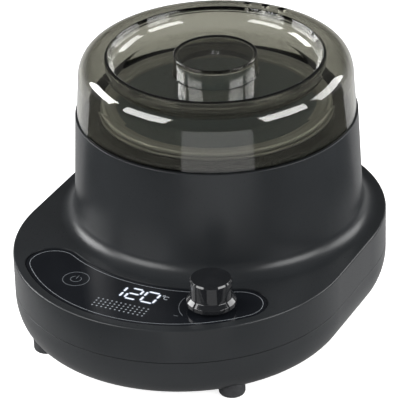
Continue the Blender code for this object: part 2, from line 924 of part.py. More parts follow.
pot_profile = [(0.0, pot_floor)]
pot_profile += arc(
    (pot_radius - pot_corner, pot_floor + pot_corner), (pot_corner, pot_corner), -90, 0, 5
)
bead_top = pot_top + pot_bead
pot_profile += [
    (pot_radius, pot_top - pot_bead),
    (pot_radius + pot_bead, pot_top),
    (pot_flange_radius - 3 * pot_bead, pot_top),
    (pot_flange_radius - 2 * pot_bead, bead_top),
    (pot_flange_radius - pot_bead, bead_top),
    (pot_flange_radius, pot_top),
    (pot_flange_radius, pot_flange_low),
    (pot_outer_radius, pot_flange_low),
]
pot_profile += arc(
    (pot_radius - pot_corner, pot_floor + pot_corner),
    (pot_corner + pot_wall, pot_corner + pot_wall),
    0,
    -90,
    5,
)
pot_profile.append((0.0, pot_floor - pot_wall))
turned("wax_pot", pot_profile, bare_aluminium, (0.0, drum_y))

band_inner = well_outer_radius + seat_gap
band_outer = band_inner + band_thickness
heater_band = turned(
    "heater_band",
    [(band_outer, band_top), (band_outer, band_low), (band_inner, band_low), (band_inner, band_top)],
    mica_sheet,
    (0.0, drum_y),
    closed=True,
)
lug_middle = band_low + band_height / 2
lug_root = (band_inner + band_outer) / 2
lug_y = drum_y + lug_root + band_lug_reach / 2
lugs = block(
    "band_lugs", (band_lug_width, band_lug_reach, band_lug_height), (0.0, lug_y, lug_middle)
)
slot_reach = band_lug_reach + 2 * band_thickness + 2 * cut_overrun
band_gap = block(
    "band_gap", (band_slot, slot_reach, band_height + 2 * cut_overrun), (0.0, lug_y, lug_middle)
)
clamp_y = drum_y + band_outer + band_lug_reach / 2
clamp_bore = lying_rod(
    "clamp_bore", hole, (-band_lug_width, clamp_y, lug_middle), 2 * band_lug_width, steps=12
)
join(heater_band, lugs)
cut(heater_band, band_gap, clamp_bore)

clamp_screw = lying_rod(
    "clamp_screw",
    screw_radius,
    (-band_lug_width / 2 - seat_gap, clamp_y, lug_middle),
    band_lug_width + 2 * seat_gap + screw_head_height,
    plated_steel,
    steps=screw_steps,
)
clamp_head = lying_rod(
    "clamp_head",
    screw_head_radius,
    (-band_lug_width / 2 - seat_gap - screw_head_height, clamp_y, lug_middle),
    screw_head_height,
    steps=screw_steps,
)
join(clamp_screw, clamp_head)

sleeve_inner = band_outer + seat_gap
sleeve_outer = sleeve_inner + sleeve_thickness
heat_sleeve = turned(
    "heat_sleeve",
    [
        (sleeve_outer, sleeve_top),
        (sleeve_outer, sleeve_low),
        (sleeve_inner, sleeve_low),
        (sleeve_inner, sleeve_top),
    ],
    glass_fibre,
    (0.0, drum_y),
    closed=True,
)
sleeve_gap = block(
    "sleeve_gap",
    (sleeve_slot + 2 * screw_head_height, slot_reach, sleeve_height + 2 * cut_overrun),
    (0.0, lug_y, sleeve_low + sleeve_height / 2),
)
cut(heat_sleeve, sleeve_gap)

sensor_middle = well_low - seat_gap - sensor_radius
sensor_start = (-sensor_side - sensor_length / 2, drum_y, sensor_middle)
lying_rod(
    "temperature_sensor", sensor_radius, sensor_start, sensor_length, bare_aluminium
)
clip_inner = sensor_radius + seat_gap
clip_outer = clip_inner + clip_thickness
clip_reach = clip_inner + clip_ear
ear_rise = sensor_radius - clip_thickness
clip_outline = [(-clip_reach, ear_rise + clip_thickness), (-clip_reach, ear_rise)]
clip_outline += [(-clip_outer, ear_rise)]
clip_outline += arc((0.0, 0.0), (clip_outer, clip_outer), -180, 0, 8)
clip_outline += [(clip_outer, ear_rise), (clip_reach, ear_rise)]
clip_outline += [(clip_reach, ear_rise + clip_thickness), (clip_inner, ear_rise + clip_thickness)]
clip_outline += arc((0.0, 0.0), (clip_inner, clip_inner), 0, -180, 8)
clip_outline += [(-clip_inner, ear_rise + clip_thickness)]
sensor_clip = plate("sensor_clip", clip_outline, -clip_width / 2, clip_width / 2, plated_steel)
sensor_clip.rotation_euler = (math.pi / 2, 0.0, math.pi / 2)
sensor_clip.location = (-sensor_side, drum_y, sensor_middle)

cutout_top = well_low - seat_gap
cutout_low = cutout_top - cutout_cap_height - cutout_body_height
heat_cutout = turned(
    "heat_cutout",
    [
        (0.0, cutout_top),
        (cutout_cap_radius, cutout_top),
        (cutout_cap_radius, cutout_top - cutout_cap_height),
        (cutout_body_radius, cutout_top - cutout_cap_height),
        (cutout_body_radius, cutout_low),
        (0.0, cutout_low),
    ],
    heat_plastic,
    (cutout_side, drum_y),
    steps=20,
)
for side in (-1, 1):
    tab = block(
        f"cutout_tab_{side}",
        (cutout_tab_thickness, cutout_tab_width, cutout_tab_height + cut_overrun),
        (
            cutout_side + side * cutout_tab_side,
            drum_y,
            cutout_low - (cutout_tab_height - cut_overrun) / 2,
        ),
    )
    join(heat_cutout, tab)


# Lid: a wall, a full shoulder, a crest, a bowl and a hollow knob, all one even wall

def lid_line(inset, edge_round):
    # The profile from the axis out to the shoulder's foot, moved into the wall by the inset.
    knob = lid_knob_radius - inset
    knob_crown = lid_knob_top - inset
    floor = lid_floor - inset
    crest = lid_top - inset
    cove = lid_bowl_round + inset
    bowl = lid_bowl_radius + inset
    line = [
        (0.0, knob_crown),
        (knob - lid_knob_edge, knob_crown),
        (knob, knob_crown - lid_knob_edge),
        (knob + lid_knob_draft, floor + lid_knob_edge),
        (knob + lid_knob_draft + lid_knob_edge, floor),
    ]
    line += arc((lid_floor_radius, lid_floor + lid_bowl_round), (cove, cove), -90, 0, 5)
    line += arc((bowl + edge_round, crest - edge_round), (edge_round, edge_round), 180, 90, 3)
    width = lid_shoulder_radius - inset - lid_crest_radius
    for i in range(shoulder_steps + 1):
        turn = math.pi / 2 * (1 - i / shoulder_steps)
        out = max(math.cos(turn), 0.0) ** shoulder_power
        up = max(math.sin(turn), 0.0) ** shoulder_power
        line.append((lid_crest_radius + width * out, shoulder_low + (crest - shoulder_low) * up))
    return line


shoulder_power = 2 / lid_shoulder_share
shoulder_low = lid_low + lid_shoulder_height
shoulder_steps = 7
lid_profile = lid_line(0.0, lid_bowl_edge_round)
lid_profile += [(lid_radius, lid_low + lid_rim_straight), (lid_radius, lid_low)]
lid_profile += [(lid_radius - lid_wall, lid_low), *reversed(lid_line(lid_wall, lid_inner_round))]
lid = turned("lid", lid_profile, smoked_clear, (0.0, drum_y))
for i in range(3):
    x = (i - 1) * vent_pitch
    y = drum_y + math.sqrt(vent_circle_radius**2 - x**2)
    vent_low = lid_top - lid_wall - lid_bowl_round
    vent = rod(f"vent_{i + 1}", vent_radius, vent_low, lid_top + cut_overrun, (x, y), steps=12)
    cut(lid, vent)


# Control panel lens

control_panel = plate("control_panel", kidney(0.0), panel_low, panel_top, gloss_black)
bushing_hole_radius = bushing_radius + bushing_hole_clearance
bushing_hole = rod(
    "bushing_hole",
    bushing_hole_radius,
    panel_low - cut_overrun,
    panel_top + cut_overrun,
    (knob_x, knob_y),
)
cut(control_panel, bushing_hole)


# Control knob: flared skirt, hollow underside and a hub with a flat for the shaft

skirt_top = knob_low + knob_skirt_height
flare_top = skirt_top + knob_flare_height
knob_profile = [
    (0.0, knob_top),
    (knob_radius - knob_edge, knob_top),
    (knob_radius, knob_top - knob_edge_height),
    (knob_radius, flare_top),
    (knob_skirt_radius, skirt_top),
]
room_radius = knob_radius - knob_wall
room_top = knob_top - knob_roof
hub_bore = shaft_radius + shaft_bore_clearance
knob_profile += [
    (knob_skirt_radius, knob_low),
    (room_radius, knob_low),
    (room_radius, room_top),
    (knob_hub_radius, room_top),
    (knob_hub_radius, knob_low + seat_gap),
    (hub_bore, knob_low + seat_gap),
    (hub_bore, hub_bore_top),
    (0.0, hub_bore_top),
]
control_knob = turned("control_knob", knob_profile, gloss_black, (knob_x, knob_y), steps=28)
flat_depth = shaft_radius * shaft_flat_share
flat_y = shaft_radius - flat_depth + shaft_bore_clearance
key = block(
    "hub_key",
    (2 * shaft_radius + 2 * shaft_bore_clearance, flat_depth, shaft_flat_length),
    (knob_x, knob_y + flat_y + flat_depth / 2, hub_bore_top - shaft_flat_length / 2 + cut_overrun / 2),
)
join(control_knob, key)

encoder_shaft = turned(
    "encoder_shaft",
    [(0.0, shaft_top), (shaft_radius, shaft_top), (shaft_radius, shaft_low), (0.0, shaft_low)],
    bare_aluminium,
    (knob_x, knob_y),
    steps=28,
)
shaft_flat = block(
    "shaft_flat",
    (3 * shaft_radius, flat_depth + cut_overrun, shaft_flat_length + cut_overrun),
    (
        knob_x,
        knob_y + flat_y - shaft_bore_clearance + (flat_depth + cut_overrun) / 2,
        shaft_top - (shaft_flat_length - cut_overrun) / 2,
    ),
)
cut(encoder_shaft, shaft_flat)

encoder_low = board_top + seat_gap
encoder_body = block(
    "encoder_body",
    (encoder_side, encoder_side, encoder_height),
    (knob_x, knob_y, encoder_low + encoder_height / 2),
    plated_steel,
)
bushing = rod(
    "bushing", bushing_radius, encoder_low + encoder_height / 2, bushing_top, (knob_x, knob_y)
)
join(encoder_body, bushing)
shaft_bore = rod(
    "shaft_bore",
    shaft_radius + shaft_bore_clearance,
    encoder_low + plunger_floor,
    bushing_top + cut_overrun,
    (knob_x, knob_y),
    steps=28,
)
cut(encoder_body, shaft_bore)
turned(
    "encoder_plunger",
    [(0.0, plunger_top), (plunger_radius, plunger_top), (plunger_radius, plunger_low), (0.0, plunger_low)],
    white_plastic,
    (knob_x, knob_y),
    steps=12,
)


# Panel board with the display, the dot field, the touch spring and the buzzer

control_board = plate("control_board", kidney(board_margin), board_low, board_top, board_laminate)
for name, place in board_screw_places.items():
    drilled = rod(
        name + "_board_hole", hole, board_low - cut_overrun, board_top + cut_overrun, place, steps=12
    )
    cut(control_board, drilled)
display_middle = board_top + seat_gap + (display_depth - seat_gap) / 2
display_block_depth = display_depth - seat_gap
block(
    "display_module",
    (display_width, display_length, display_block_depth),
    (display_x, drum_y - display_y, display_middle),
    white_plastic,
)
dots_y = drum_y - display_y - display_length / 2 - seat_gap - dots_length / 2
block(
    "dot_field_module",
    (display_width, dots_length, display_block_depth),
    (dots_x, dots_y, display_middle),
    white_plastic,
)

spring_low = board_top + seat_gap + touch_wire_radius
spring_high = panel_low - seat_gap - touch_wire_radius
turn_points = 9
spring_curve = bpy.data.curves.new("touch_spring", "CURVE")
spring_curve.dimensions = "3D"
spring_curve.bevel_depth = touch_wire_radius
spring_curve.bevel_resolution = 1
spring_curve.use_fill_caps = True
coil = spring_curve.splines.new("POLY")
coil_points = touch_turns * turn_points + 1
coil.points.add(coil_points - 1)
for i in range(coil_points):
    turn = 2 * math.pi * i / turn_points
    x = touch_spring_radius * math.cos(turn)
    y = touch_spring_radius * math.sin(turn)
    z = spring_low + (spring_high - spring_low) * i / (coil_points - 1)
    coil.points[i].co = (x, y, z, 1.0)
spring_curve.materials.append(plated_steel)
touch_spring = bpy.data.objects.new("touch_spring", spring_curve)
touch_spring.location = (power_x, power_y, 0.0)
part_group.objects.link(touch_spring)

buzzer_x = -mark_circle_radius * math.sin(buzzer_angle)
buzzer_y = drum_y - mark_circle_radius * math.cos(buzzer_angle)
buzzer_low = board_top + seat_gap
buzzer_top = buzzer_low + buzzer_height
turned(
    "buzzer",
    [
        (0.0, buzzer_top - buzzer_hole_depth),
        (buzzer_hole_radius, buzzer_top - buzzer_hole_depth),
        (buzzer_hole_radius, buzzer_top),
        (buzzer_radius, buzzer_top),
        (buzzer_radius, buzzer_low),
        (0.0, buzzer_low),
    ],
    heat_plastic,
    (buzzer_x, buzzer_y),
    steps=small_steps,
)


# Power board in the base, with its larger parts

power_board = block(
    "power_board",
    (power_board_width, power_board_length, board_thickness),
    (0.0, power_board_y, power_board_height + board_thickness / 2),
    board_laminate,
)
for name, place in power_screw_places.items():
    drilled = rod(
        name + "_board_hole",
        hole,
        power_board_height - cut_overrun,
        power_board_top + cut_overrun,
        place,
        steps=12,
    )
    cut(power_board, drilled)
block(
    "supply_block",
    (supply_width, supply_length, supply_height),
    (supply_x, power_board_y + supply_shift, parts_low + supply_height / 2),
    heat_plastic,
    supply_round,
)
block(
    "power_relay",
    (relay_width, relay_length, relay_height),
    (relay_x, power_board_y + relay_shift, parts_low + relay_height / 2),
    relay_plastic,
    relay_round,
)
turned(
    "filter_capacitor",
    [
        (0.0, parts_low + capacitor_height),
        (capacitor_radius - capacitor_crimp, parts_low + capacitor_height),
        (capacitor_radius, parts_low + capacitor_height - capacitor_crimp),
        (capacitor_radius, parts_low + 3 * capacitor_crimp),
        (capacitor_radius - capacitor_crimp, parts_low + 2 * capacitor_crimp),
        (capacitor_radius, parts_low + capacitor_crimp),
        (capacitor_radius, parts_low),
        (0.0, parts_low),
    ],
    heat_plastic,
    (capacitor_x, power_board_y + capacitor_shift),
    steps=small_steps,
)
terminal_block = block(
    "terminal_block",
    (terminal_width, terminal_length, terminal_height),
    (terminal_x, power_board_y, parts_low + terminal_height / 2),
    terminal_plastic,
)
for i in range(4):
    y = power_board_y + (i - 1.5) * terminal_length / 4
    top = parts_low + terminal_height
    well = rod(
        f"terminal_hole_{i}", terminal_hole_radius, top - terminal_hole_depth, top + cut_overrun,
        (terminal_x, y), steps=10,
    )
    cut(terminal_block, well)
fuse_start = (fuse_x - fuse_length / 2, fuse_y, parts_low + fuse_radius)
mains_fuse = lying_rod("mains_fuse", fuse_radius, fuse_start, fuse_length, white_plastic, steps=12)
fuse_waist = turned(
    "fuse_waist",
    [
        (fuse_radius + cut_overrun, fuse_length / 2 - fuse_cap_length),
        (fuse_radius + cut_overrun, fuse_cap_length - fuse_length / 2),
        (fuse_radius - fuse_neck, fuse_cap_length - fuse_length / 2),
        (fuse_radius - fuse_neck, fuse_length / 2 - fuse_cap_length),
    ],
    steps=12,
    closed=True,
)
fuse_waist.rotation_euler = (0.0, math.pi / 2, 0.0)
fuse_waist.location = (fuse_x, fuse_y, parts_low + fuse_radius)
cut(mains_fuse, fuse_waist)


# Mains inlet with a figure-eight mouth and two pins

mains_inlet = block(
    "mains_inlet",
    (inlet_flange_width, inlet_flange_thickness, inlet_flange_height),
    (0.0, inlet_face - inlet_flange_thickness / 2, inlet_height),
    heat_plastic,
)
inlet_body = block(
    "inlet_body",
    (inlet_body_width, inlet_body_depth - cut_overrun / 2, inlet_body_height),
    (0.0, inlet_face - cut_overrun / 2 - (inlet_body_depth - cut_overrun / 2) / 2, inlet_height),
)
join(mains_inlet, inlet_body)
mouth_length = inlet_mouth_depth + cut_overrun
mouth_start = inlet_face - inlet_mouth_depth
for side in (-1, 1):
    lobe = lying_rod(
        f"inlet_lobe_{side}",
        inlet_mouth_radius,
        (side * inlet_pin_spread, mouth_start, inlet_height),
        mouth_length,
        along="Y",
    )
    cut(mains_inlet, lobe)
waist = block(
    "inlet_waist",
    (2 * inlet_pin_spread, mouth_length, inlet_mouth_radius + inlet_pin_radius),
    (0.0, mouth_start + mouth_length / 2, inlet_height),
)
cut(mains_inlet, waist)
pin_hole = inlet_pin_radius + screw_clearance
tail_start = inlet_face - inlet_body_depth - inlet_tail_length
pin_total = inlet_face - inlet_mouth_depth + inlet_pin_length - tail_start
for side, name in ((-1, "inlet_pin_left"), (1, "inlet_pin_right")):
    x = side * inlet_pin_spread
    drilled = lying_rod(
        name + "_hole",
        pin_hole,
        (x, inlet_face - inlet_body_depth - cut_overrun, inlet_height),
        inlet_body_depth,
        steps=12,
        along="Y",
    )
    cut(mains_inlet, drilled)
    lying_rod(
        name, inlet_pin_radius, (x, tail_start, inlet_height), pin_total, plated_steel, 12, "Y"
    )


# Rubber feet, pushed through the bosses, and the screws

for name, place in foot_places.items():
    top = foot_socket_height - seat_gap
    head_low = boss_top + seat_gap
    profile = [
        (0.0, head_low + foot_head_height),
        (foot_head_radius / 2, head_low + foot_head_height),
        (foot_head_radius, head_low),
        (foot_stem_radius, head_low),
        (foot_stem_radius, top),
        (foot_radius, top),
    ]
    profile += arc((foot_radius - foot_round, foot_round), (foot_round, foot_round), 0, -90, 2)
    profile.append((0.0, 0.0))
    turned(name, profile, soft_rubber, place, small_steps)

for name, place in case_screw_places.items():
    screw(name, place, case_screw_seat, case_screw_length)
for name, place in ring_screw_places.items():
    screw(name, place, shelf_low, ring_screw_length)
for name, place in board_screw_places.items():
    screw(name, place, board_low, board_screw_length)
for name, place in power_screw_places.items():
    # These go in from above, so the same screw is turned over about the board's top.
    item = screw(name, place, 0.0, board_screw_length)
    item.rotation_euler = (math.pi, 0.0, 0.0)
    item.location = (place[0], place[1], power_board_top)
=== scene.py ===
import math

import bmesh
import bpy
from mathutils import Matrix, Vector
from mathutils.geometry import delaunay_2d_cdt


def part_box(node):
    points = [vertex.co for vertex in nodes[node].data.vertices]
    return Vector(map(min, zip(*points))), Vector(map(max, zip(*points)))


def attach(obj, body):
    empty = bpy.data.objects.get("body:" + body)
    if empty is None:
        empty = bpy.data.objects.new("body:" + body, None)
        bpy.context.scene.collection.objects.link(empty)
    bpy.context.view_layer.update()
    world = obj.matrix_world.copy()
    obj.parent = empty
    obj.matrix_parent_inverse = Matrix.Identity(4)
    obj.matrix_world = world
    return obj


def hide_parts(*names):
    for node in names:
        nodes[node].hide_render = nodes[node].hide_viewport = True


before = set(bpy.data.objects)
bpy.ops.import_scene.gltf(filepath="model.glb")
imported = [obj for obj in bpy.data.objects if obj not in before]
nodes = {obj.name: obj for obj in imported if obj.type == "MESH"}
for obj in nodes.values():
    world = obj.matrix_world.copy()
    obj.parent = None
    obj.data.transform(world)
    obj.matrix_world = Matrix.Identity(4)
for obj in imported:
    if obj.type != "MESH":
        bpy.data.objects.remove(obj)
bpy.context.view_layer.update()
print("frame loaded:", len(nodes), "CAD nodes")

mm = 0.001
drumY = 21.7  # mm, the drum's axis, behind the middle of the base
frontY = -21.7
seatGap = 0.3  # mm, between a piece and its seat
drumAt = (0.0, drumY)


# Nodes and colours


def hexColour(text, alpha=1.0):
    # sRGB hex to the linear values that Blender's sockets take
    parts = [int(text[i:i + 2], 16) / 255 for i in (0, 2, 4)]
    return tuple(p / 12.92 if p <= 0.04045 else ((p + 0.055) / 1.055) ** 2.4 for p in parts) + (alpha,)


def addNode(tree, kind, settings=None, **links):
    # settings go to a property or, failing that, to the input of that name; links are (node, output)
    node = tree.nodes.new(kind)
    for name, value in (settings or {}).items():
        if hasattr(node, name) and name not in ("inputs", "outputs"):
            setattr(node, name, value)
        else:
            node.inputs[name].default_value = value
    for name, (source, output) in links.items():
        socket = node.inputs[int(name[1:])] if name[0] == "i" and name[1:].isdigit() else node.inputs[name]
        tree.links.new(source.outputs[output], socket)
    return node


def newMaterial(name, settings):
    material = bpy.data.materials.new(name)
    material.use_nodes = True
    tree = material.node_tree
    shader = tree.nodes["Principled BSDF"]
    for key, value in settings.items():
        shader.inputs[key].default_value = value
    return material, tree, shader


def grainOf(tree, scale, detail=2.0, roughness=0.5):
    # noise in the object's own metres; scale is in bumps per metre
    place = addNode(tree, "ShaderNodeTexCoord")
    return addNode(
        tree, "ShaderNodeTexNoise", {"Scale": scale, "Detail": detail, "Roughness": roughness},
        Vector=(place, "Object"),
    )


def roughFrom(tree, shader, source, output, low, high):
    # roughness from low to high as the pattern goes from dark to light
    rough = addNode(
        tree, "ShaderNodeMapRange", {"To Min": low, "To Max": high, "From Min": 0.3, "From Max": 0.7},
        Value=(source, output),
    )
    tree.links.new(rough.outputs["Result"], shader.inputs["Roughness"])


def tint(tree, shader, source, output, dark, light):
    ramp = addNode(tree, "ShaderNodeValToRGB", Fac=(source, output))
    ramp.color_ramp.elements[0].position = 0.35
    ramp.color_ramp.elements[0].color = hexColour(dark)
    ramp.color_ramp.elements[1].position = 0.65
    ramp.color_ramp.elements[1].color = hexColour(light)
    tree.links.new(ramp.outputs["Color"], shader.inputs["Base Color"])
    return ramp


def bumpFrom(tree, shader, source, output, distance, strength=1.0):
    bump = addNode(
        tree, "ShaderNodeBump", {"Distance": distance, "Strength": strength}, Height=(source, output)
    )
    tree.links.new(bump.outputs["Normal"], shader.inputs["Normal"])
    return bump


# Materials


def texturedAbs():
    # ABS moulded in a spark-eroded tool: an even, fine-grained satin black that greys
    # where light grazes it.
    # The real grain is about 0.1 mm; it is drawn at 0.5 mm so that it shows at all.
    material, tree, shader = newMaterial("texturedAbs", {
        "Roughness": 0.3, "IOR": 1.53, "Specular IOR Level": 0.3,
    })
    grain = grainOf(tree, 1 / (0.5 * mm), 3.0)
    cloud = grainOf(tree, 1 / (40 * mm), 2.0)
    tint(tree, shader, cloud, "Fac", "232527", "282A2C")
    roughFrom(tree, shader, grain, "Fac", 0.27, 0.34)
    bumpFrom(tree, shader, grain, "Fac", 0.03 * mm, 0.6)
    return material


def smokedAcrylic():
    # Injection-moulded smoked acrylic: polished and clear, olive-grey through one wall and
    # nearly black where the eye looks along a wall, because the tint is in the depth.
    # Absorption is worked out from about 46% of the light left after a 2.4 mm wall.
    material, tree, shader = newMaterial("smokedAcrylic", {
        "Base Color": hexColour("FBFBF8"), "Roughness": 0.0, "IOR": 1.49, "Transmission Weight": 1.0,
        "Coat Weight": 0.7, "Coat Roughness": 0.0, "Coat IOR": 1.5,
    })
    ripple = grainOf(tree, 1 / (30 * mm), 1.0)
    roughFrom(tree, shader, ripple, "Fac", 0.0, 0.015)
    depth = addNode(tree, "ShaderNodeVolumeAbsorption", {"Color": hexColour("807E67"), "Density": 405.0})
    tree.links.new(depth.outputs["Volume"], tree.nodes["Material Output"].inputs["Volume"])
    return material


def blackPmma():
    # Back-painted acrylic lens: near black with a clear, mirror-like top and the faintest haze of wiping.
    material, tree, shader = newMaterial("blackPmma", {
        "Roughness": 0.06, "IOR": 1.49, "Specular IOR Level": 0.3,
    })
    haze = grainOf(tree, 1 / (14 * mm), 3.0)
    tint(tree, shader, haze, "Fac", "14161A", "17191D")
    roughFrom(tree, shader, haze, "Fac", 0.04, 0.09)
    return material


def polishedAbs():
    # ABS moulded against a polished tool, for the knob: deep gloss black with faint flow unevenness.
    material, tree, shader = newMaterial("polishedAbs", {"Roughness": 0.07, "IOR": 1.53})
    flow = grainOf(tree, 1 / (9 * mm), 2.0)
    tint(tree, shader, flow, "Fac", "191A1C", "1D1E20")
    roughFrom(tree, shader, flow, "Fac", 0.05, 0.10)
    return material


def heatProofPbt():
    # Glass-filled PBT, moulded: flat black with a dry, slightly mottled skin.
    material, tree, shader = newMaterial("heatProofPbt", {"Roughness": 0.55, "IOR": 1.55})
    mottle = grainOf(tree, 1 / (1.2 * mm), 4.0)
    tint(tree, shader, mottle, "Fac", "17181A", "1D1E20")
    roughFrom(tree, shader, mottle, "Fac", 0.48, 0.66)
    bumpFrom(tree, shader, mottle, "Fac", 0.02 * mm, 0.5)
    return material


def turnedRings(tree, spacing):
    # rings about the drum's axis, as a lathe tool leaves them; Blender's wave runs at 20 radians a unit
    place = addNode(tree, "ShaderNodeTexCoord")
    move = addNode(
        tree, "ShaderNodeMapping", {"Location": (0.0, -drumY * mm, 0.0)}, Vector=(place, "Object")
    )
    return addNode(tree, "ShaderNodeTexWave", {
        "wave_type": "RINGS", "rings_direction": "SPHERICAL", "Scale": 2 * math.pi / (20 * spacing),
        "Distortion": 0.6, "Detail": 2.0,
    }, Vector=(move, "Vector"))


def spunAluminium(name="spunAluminium", dark="C6C6C2", light="D8D8D4", rough=(0.5, 0.62)):
    # Aluminium spun on a lathe: soft grey metal with fine rings that draw highlights into bands.
    # Tool marks are about 0.2 mm apart; they are drawn as soft bands 5 mm apart so that they show.
    material, tree, shader = newMaterial(name, {"Metallic": 1.0, "Roughness": 0.34})
    rings = turnedRings(tree, 5.03 * mm)
    tint(tree, shader, rings, "Fac", dark, light)
    roughFrom(tree, shader, rings, "Fac", *rough)
    bumpFrom(tree, shader, rings, "Fac", 0.01 * mm, 0.4)
    return material


def blastedAluminium():
    # Aluminium, bead-blasted and clear-anodised: an even cool grey that scatters light like fine frost.
    # The blasting marks are about 0.1 mm; they are drawn at 1 mm.
    material, tree, shader = newMaterial("blastedAluminium", {"Metallic": 1.0, "Roughness": 0.6})
    speck = grainOf(tree, 1 / (1.0 * mm), 2.0)
    tint(tree, shader, speck, "Fac", "BAC2C5", "CBD3D6")
    roughFrom(tree, shader, speck, "Fac", 0.55, 0.68)
    bumpFrom(tree, shader, speck, "Fac", 0.02 * mm, 0.4)
    return material


def zincPlatedSteel():
    # Steel with bright zinc: cool grey metal with a faint cloudy bloom.
    material, tree, shader = newMaterial("zincPlatedSteel", {"Metallic": 1.0, "Roughness": 0.3})
    bloom = grainOf(tree, 1 / (1.5 * mm), 3.0)
    tint(tree, shader, bloom, "Fac", "9A9C9F", "BFC1C3")
    roughFrom(tree, shader, bloom, "Fac", 0.22, 0.42)
    return material


def siliconeRubber():
    # Moulded black silicone: dull charcoal that picks up dust-grey on its skin.
    material, tree, shader = newMaterial("siliconeRubber", {"Roughness": 0.72, "IOR": 1.41})
    dust = grainOf(tree, 1 / (2.0 * mm), 4.0)
    tint(tree, shader, dust, "Fac", "303133", "393A3C")
    bumpFrom(tree, shader, dust, "Fac", 0.03 * mm, 0.5)
    return material


def micaPlate():
    # Pressed mica wound with heater wire: tan, flaky, with a pearly glint.
    material, tree, shader = newMaterial("micaPlate", {"Roughness": 0.45, "IOR": 1.58})
    place = addNode(tree, "ShaderNodeTexCoord")
    flake = addNode(
        tree, "ShaderNodeTexVoronoi", {"Scale": 1 / (2.5 * mm)}, Vector=(place, "Object")
    )
    tint(tree, shader, flake, "Distance", "A38F6B", "C4B48F")
    bumpFrom(tree, shader, flake, "Distance", 0.03 * mm, 0.5)
    return material


def glassFelt():
    # Needled glass-fibre felt: matt off-white with loose crossing fibres.
    material, tree, shader = newMaterial("glassFelt", {"Roughness": 0.95, "Sheen Weight": 0.3})
    fibre = grainOf(tree, 1 / (0.8 * mm), 6.0, 0.7)
    tint(tree, shader, fibre, "Fac", "CFC9BA", "EDE9DE")
    bumpFrom(tree, shader, fibre, "Fac", 0.4 * mm, 0.8)
    return material


def circuitLaminate():
    # Glass-epoxy board under green solder resist, with the copper tracks showing through as a paler green.
    material, tree, shader = newMaterial("circuitLaminate", {"Roughness": 0.35, "IOR": 1.55})
    place = addNode(tree, "ShaderNodeTexCoord")
    tracks = addNode(
        tree, "ShaderNodeTexBrick",
        {"Scale": 1 / (3 * mm), "Mortar Size": 0.06, "Color1": hexColour("1D5A33"),
         "Color2": hexColour("1D5A33"), "Mortar": hexColour("2F7C49")},
        Vector=(place, "Object"),
    )
    tree.links.new(tracks.outputs["Color"], shader.inputs["Base Color"])
    return material


def mouldedNylon(name, dark, light):
    # Moulded engineering plastic for the small electrical parts: even colour, low sheen.
    material, tree, shader = newMaterial(name, {"Roughness": 0.4, "IOR": 1.53})
    flow = grainOf(tree, 1 / (3 * mm), 2.0)
    tint(tree, shader, flow, "Fac", dark, light)
    roughFrom(tree, shader, flow, "Fac", 0.34, 0.48)
    return material


def litSegment(name, colour, strength):
    # White LED light through a diffusing film: even, slightly cool, and brighter than its surroundings.
    return newMaterial(name, {
        "Base Color": hexColour("101114"), "Roughness": 0.2,
        "Emission Color": hexColour(colour), "Emission Strength": strength,
    })[0]


def screenInk(name, dark, light):
    # Grey ink screen-printed on the lens: flat, thin and a little uneven.
    material, tree, shader = newMaterial(name, {"Roughness": 0.5, "IOR": 1.5})
    film = grainOf(tree, 1 / (0.8 * mm), 2.0)
    tint(tree, shader, film, "Fac", dark, light)
    return material


finishes = {
    "case": texturedAbs(),
    "lid": smokedAcrylic(),
    "lens": blackPmma(),
    "knob": polishedAbs(),
    "pbt": heatProofPbt(),
    "pot": spunAluminium(),
    "well": spunAluminium("drawnAluminium", "A2A29E", "B4B4B0", (0.3, 0.42)),
    "potInside": blastedAluminium(),
    "steel": zincPlatedSteel(),
    "rubber": siliconeRubber(),
    "mica": micaPlate(),
    "felt": glassFelt(),
    "board": circuitLaminate(),
    "white": mouldedNylon("whiteNylon", "C9C9C6", "D6D6D3"),
    "blue": mouldedNylon("relayNylon", "1B3F86", "22499A"),
    "green": mouldedNylon("terminalNylon", "2A7A43", "30874C"),
    "led": litSegment("whiteLedFilm", "EEF3FF", 1.1),
    "ledDim": litSegment("greyLedFilm", "C4CAD2", 0.6),
    "ledGlow": litSegment("ledSpillFilm", "9FB0C8", 0.2),
    "ink": screenInk("greyInk", "5C6064", "6A6E72"),
    "silver": screenInk("silverInk", "7C8084", "8C9094"),
}
print("materials ready:", len(finishes))


# Making meshes


def arcPoints(centre, radius, start, end, steps):
    # degrees; radius may be a pair for an ellipse
    across, up = radius if isinstance(radius, tuple) else (radius, radius)
    points = []
    for i in range(steps + 1):
        turn = math.radians(start + (end - start) * i / steps)
        points.append((centre[0] + across * math.cos(turn), centre[1] + up * math.sin(turn)))
    return points


def rounded(corners, steps=3):
    # corners are (x, y) or (x, y, radius); each radius becomes an arc between its neighbours
    points = []
    last = len(corners) - 1
    for i, corner in enumerate(corners):
        size = corner[2] if len(corner) > 2 else 0.0
        here = Vector(corner[:2])
        if not size or i in (0, last):
            points.append(tuple(here))
            continue
        back = Vector(corners[i - 1][:2]) - here
        on = Vector(corners[i + 1][:2]) - here
        angle = back.angle(on)
        reach = min(size / math.tan(angle / 2), 0.49 * back.length, 0.49 * on.length)
        size = reach * math.tan(angle / 2)
        start = here + back.normalized() * reach
        end = here + on.normalized() * reach
        middle = here + (back.normalized() + on.normalized()).normalized() * (size / math.sin(angle / 2))
        for j in range(steps + 1):
            side = (start - middle).normalized().lerp((end - middle).normalized(), j / steps).normalized()
            points.append(tuple(middle + side * size))
    return points


def finishObject(name, mesh, body, material, sharp=35):
    item = bpy.data.objects.new(name, mesh)
    bpy.context.scene.collection.objects.link(item)
    for entry in material if isinstance(material, list) else [material]:
        mesh.materials.append(entry)
    mesh.shade_smooth()
    mesh.set_sharp_from_angle(angle=math.radians(sharp))
    even = item.modifiers.new("even shading", "WEIGHTED_NORMAL")
    even.keep_sharp = True
    even.weight = 80
    if body:
        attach(item, body)
    return item


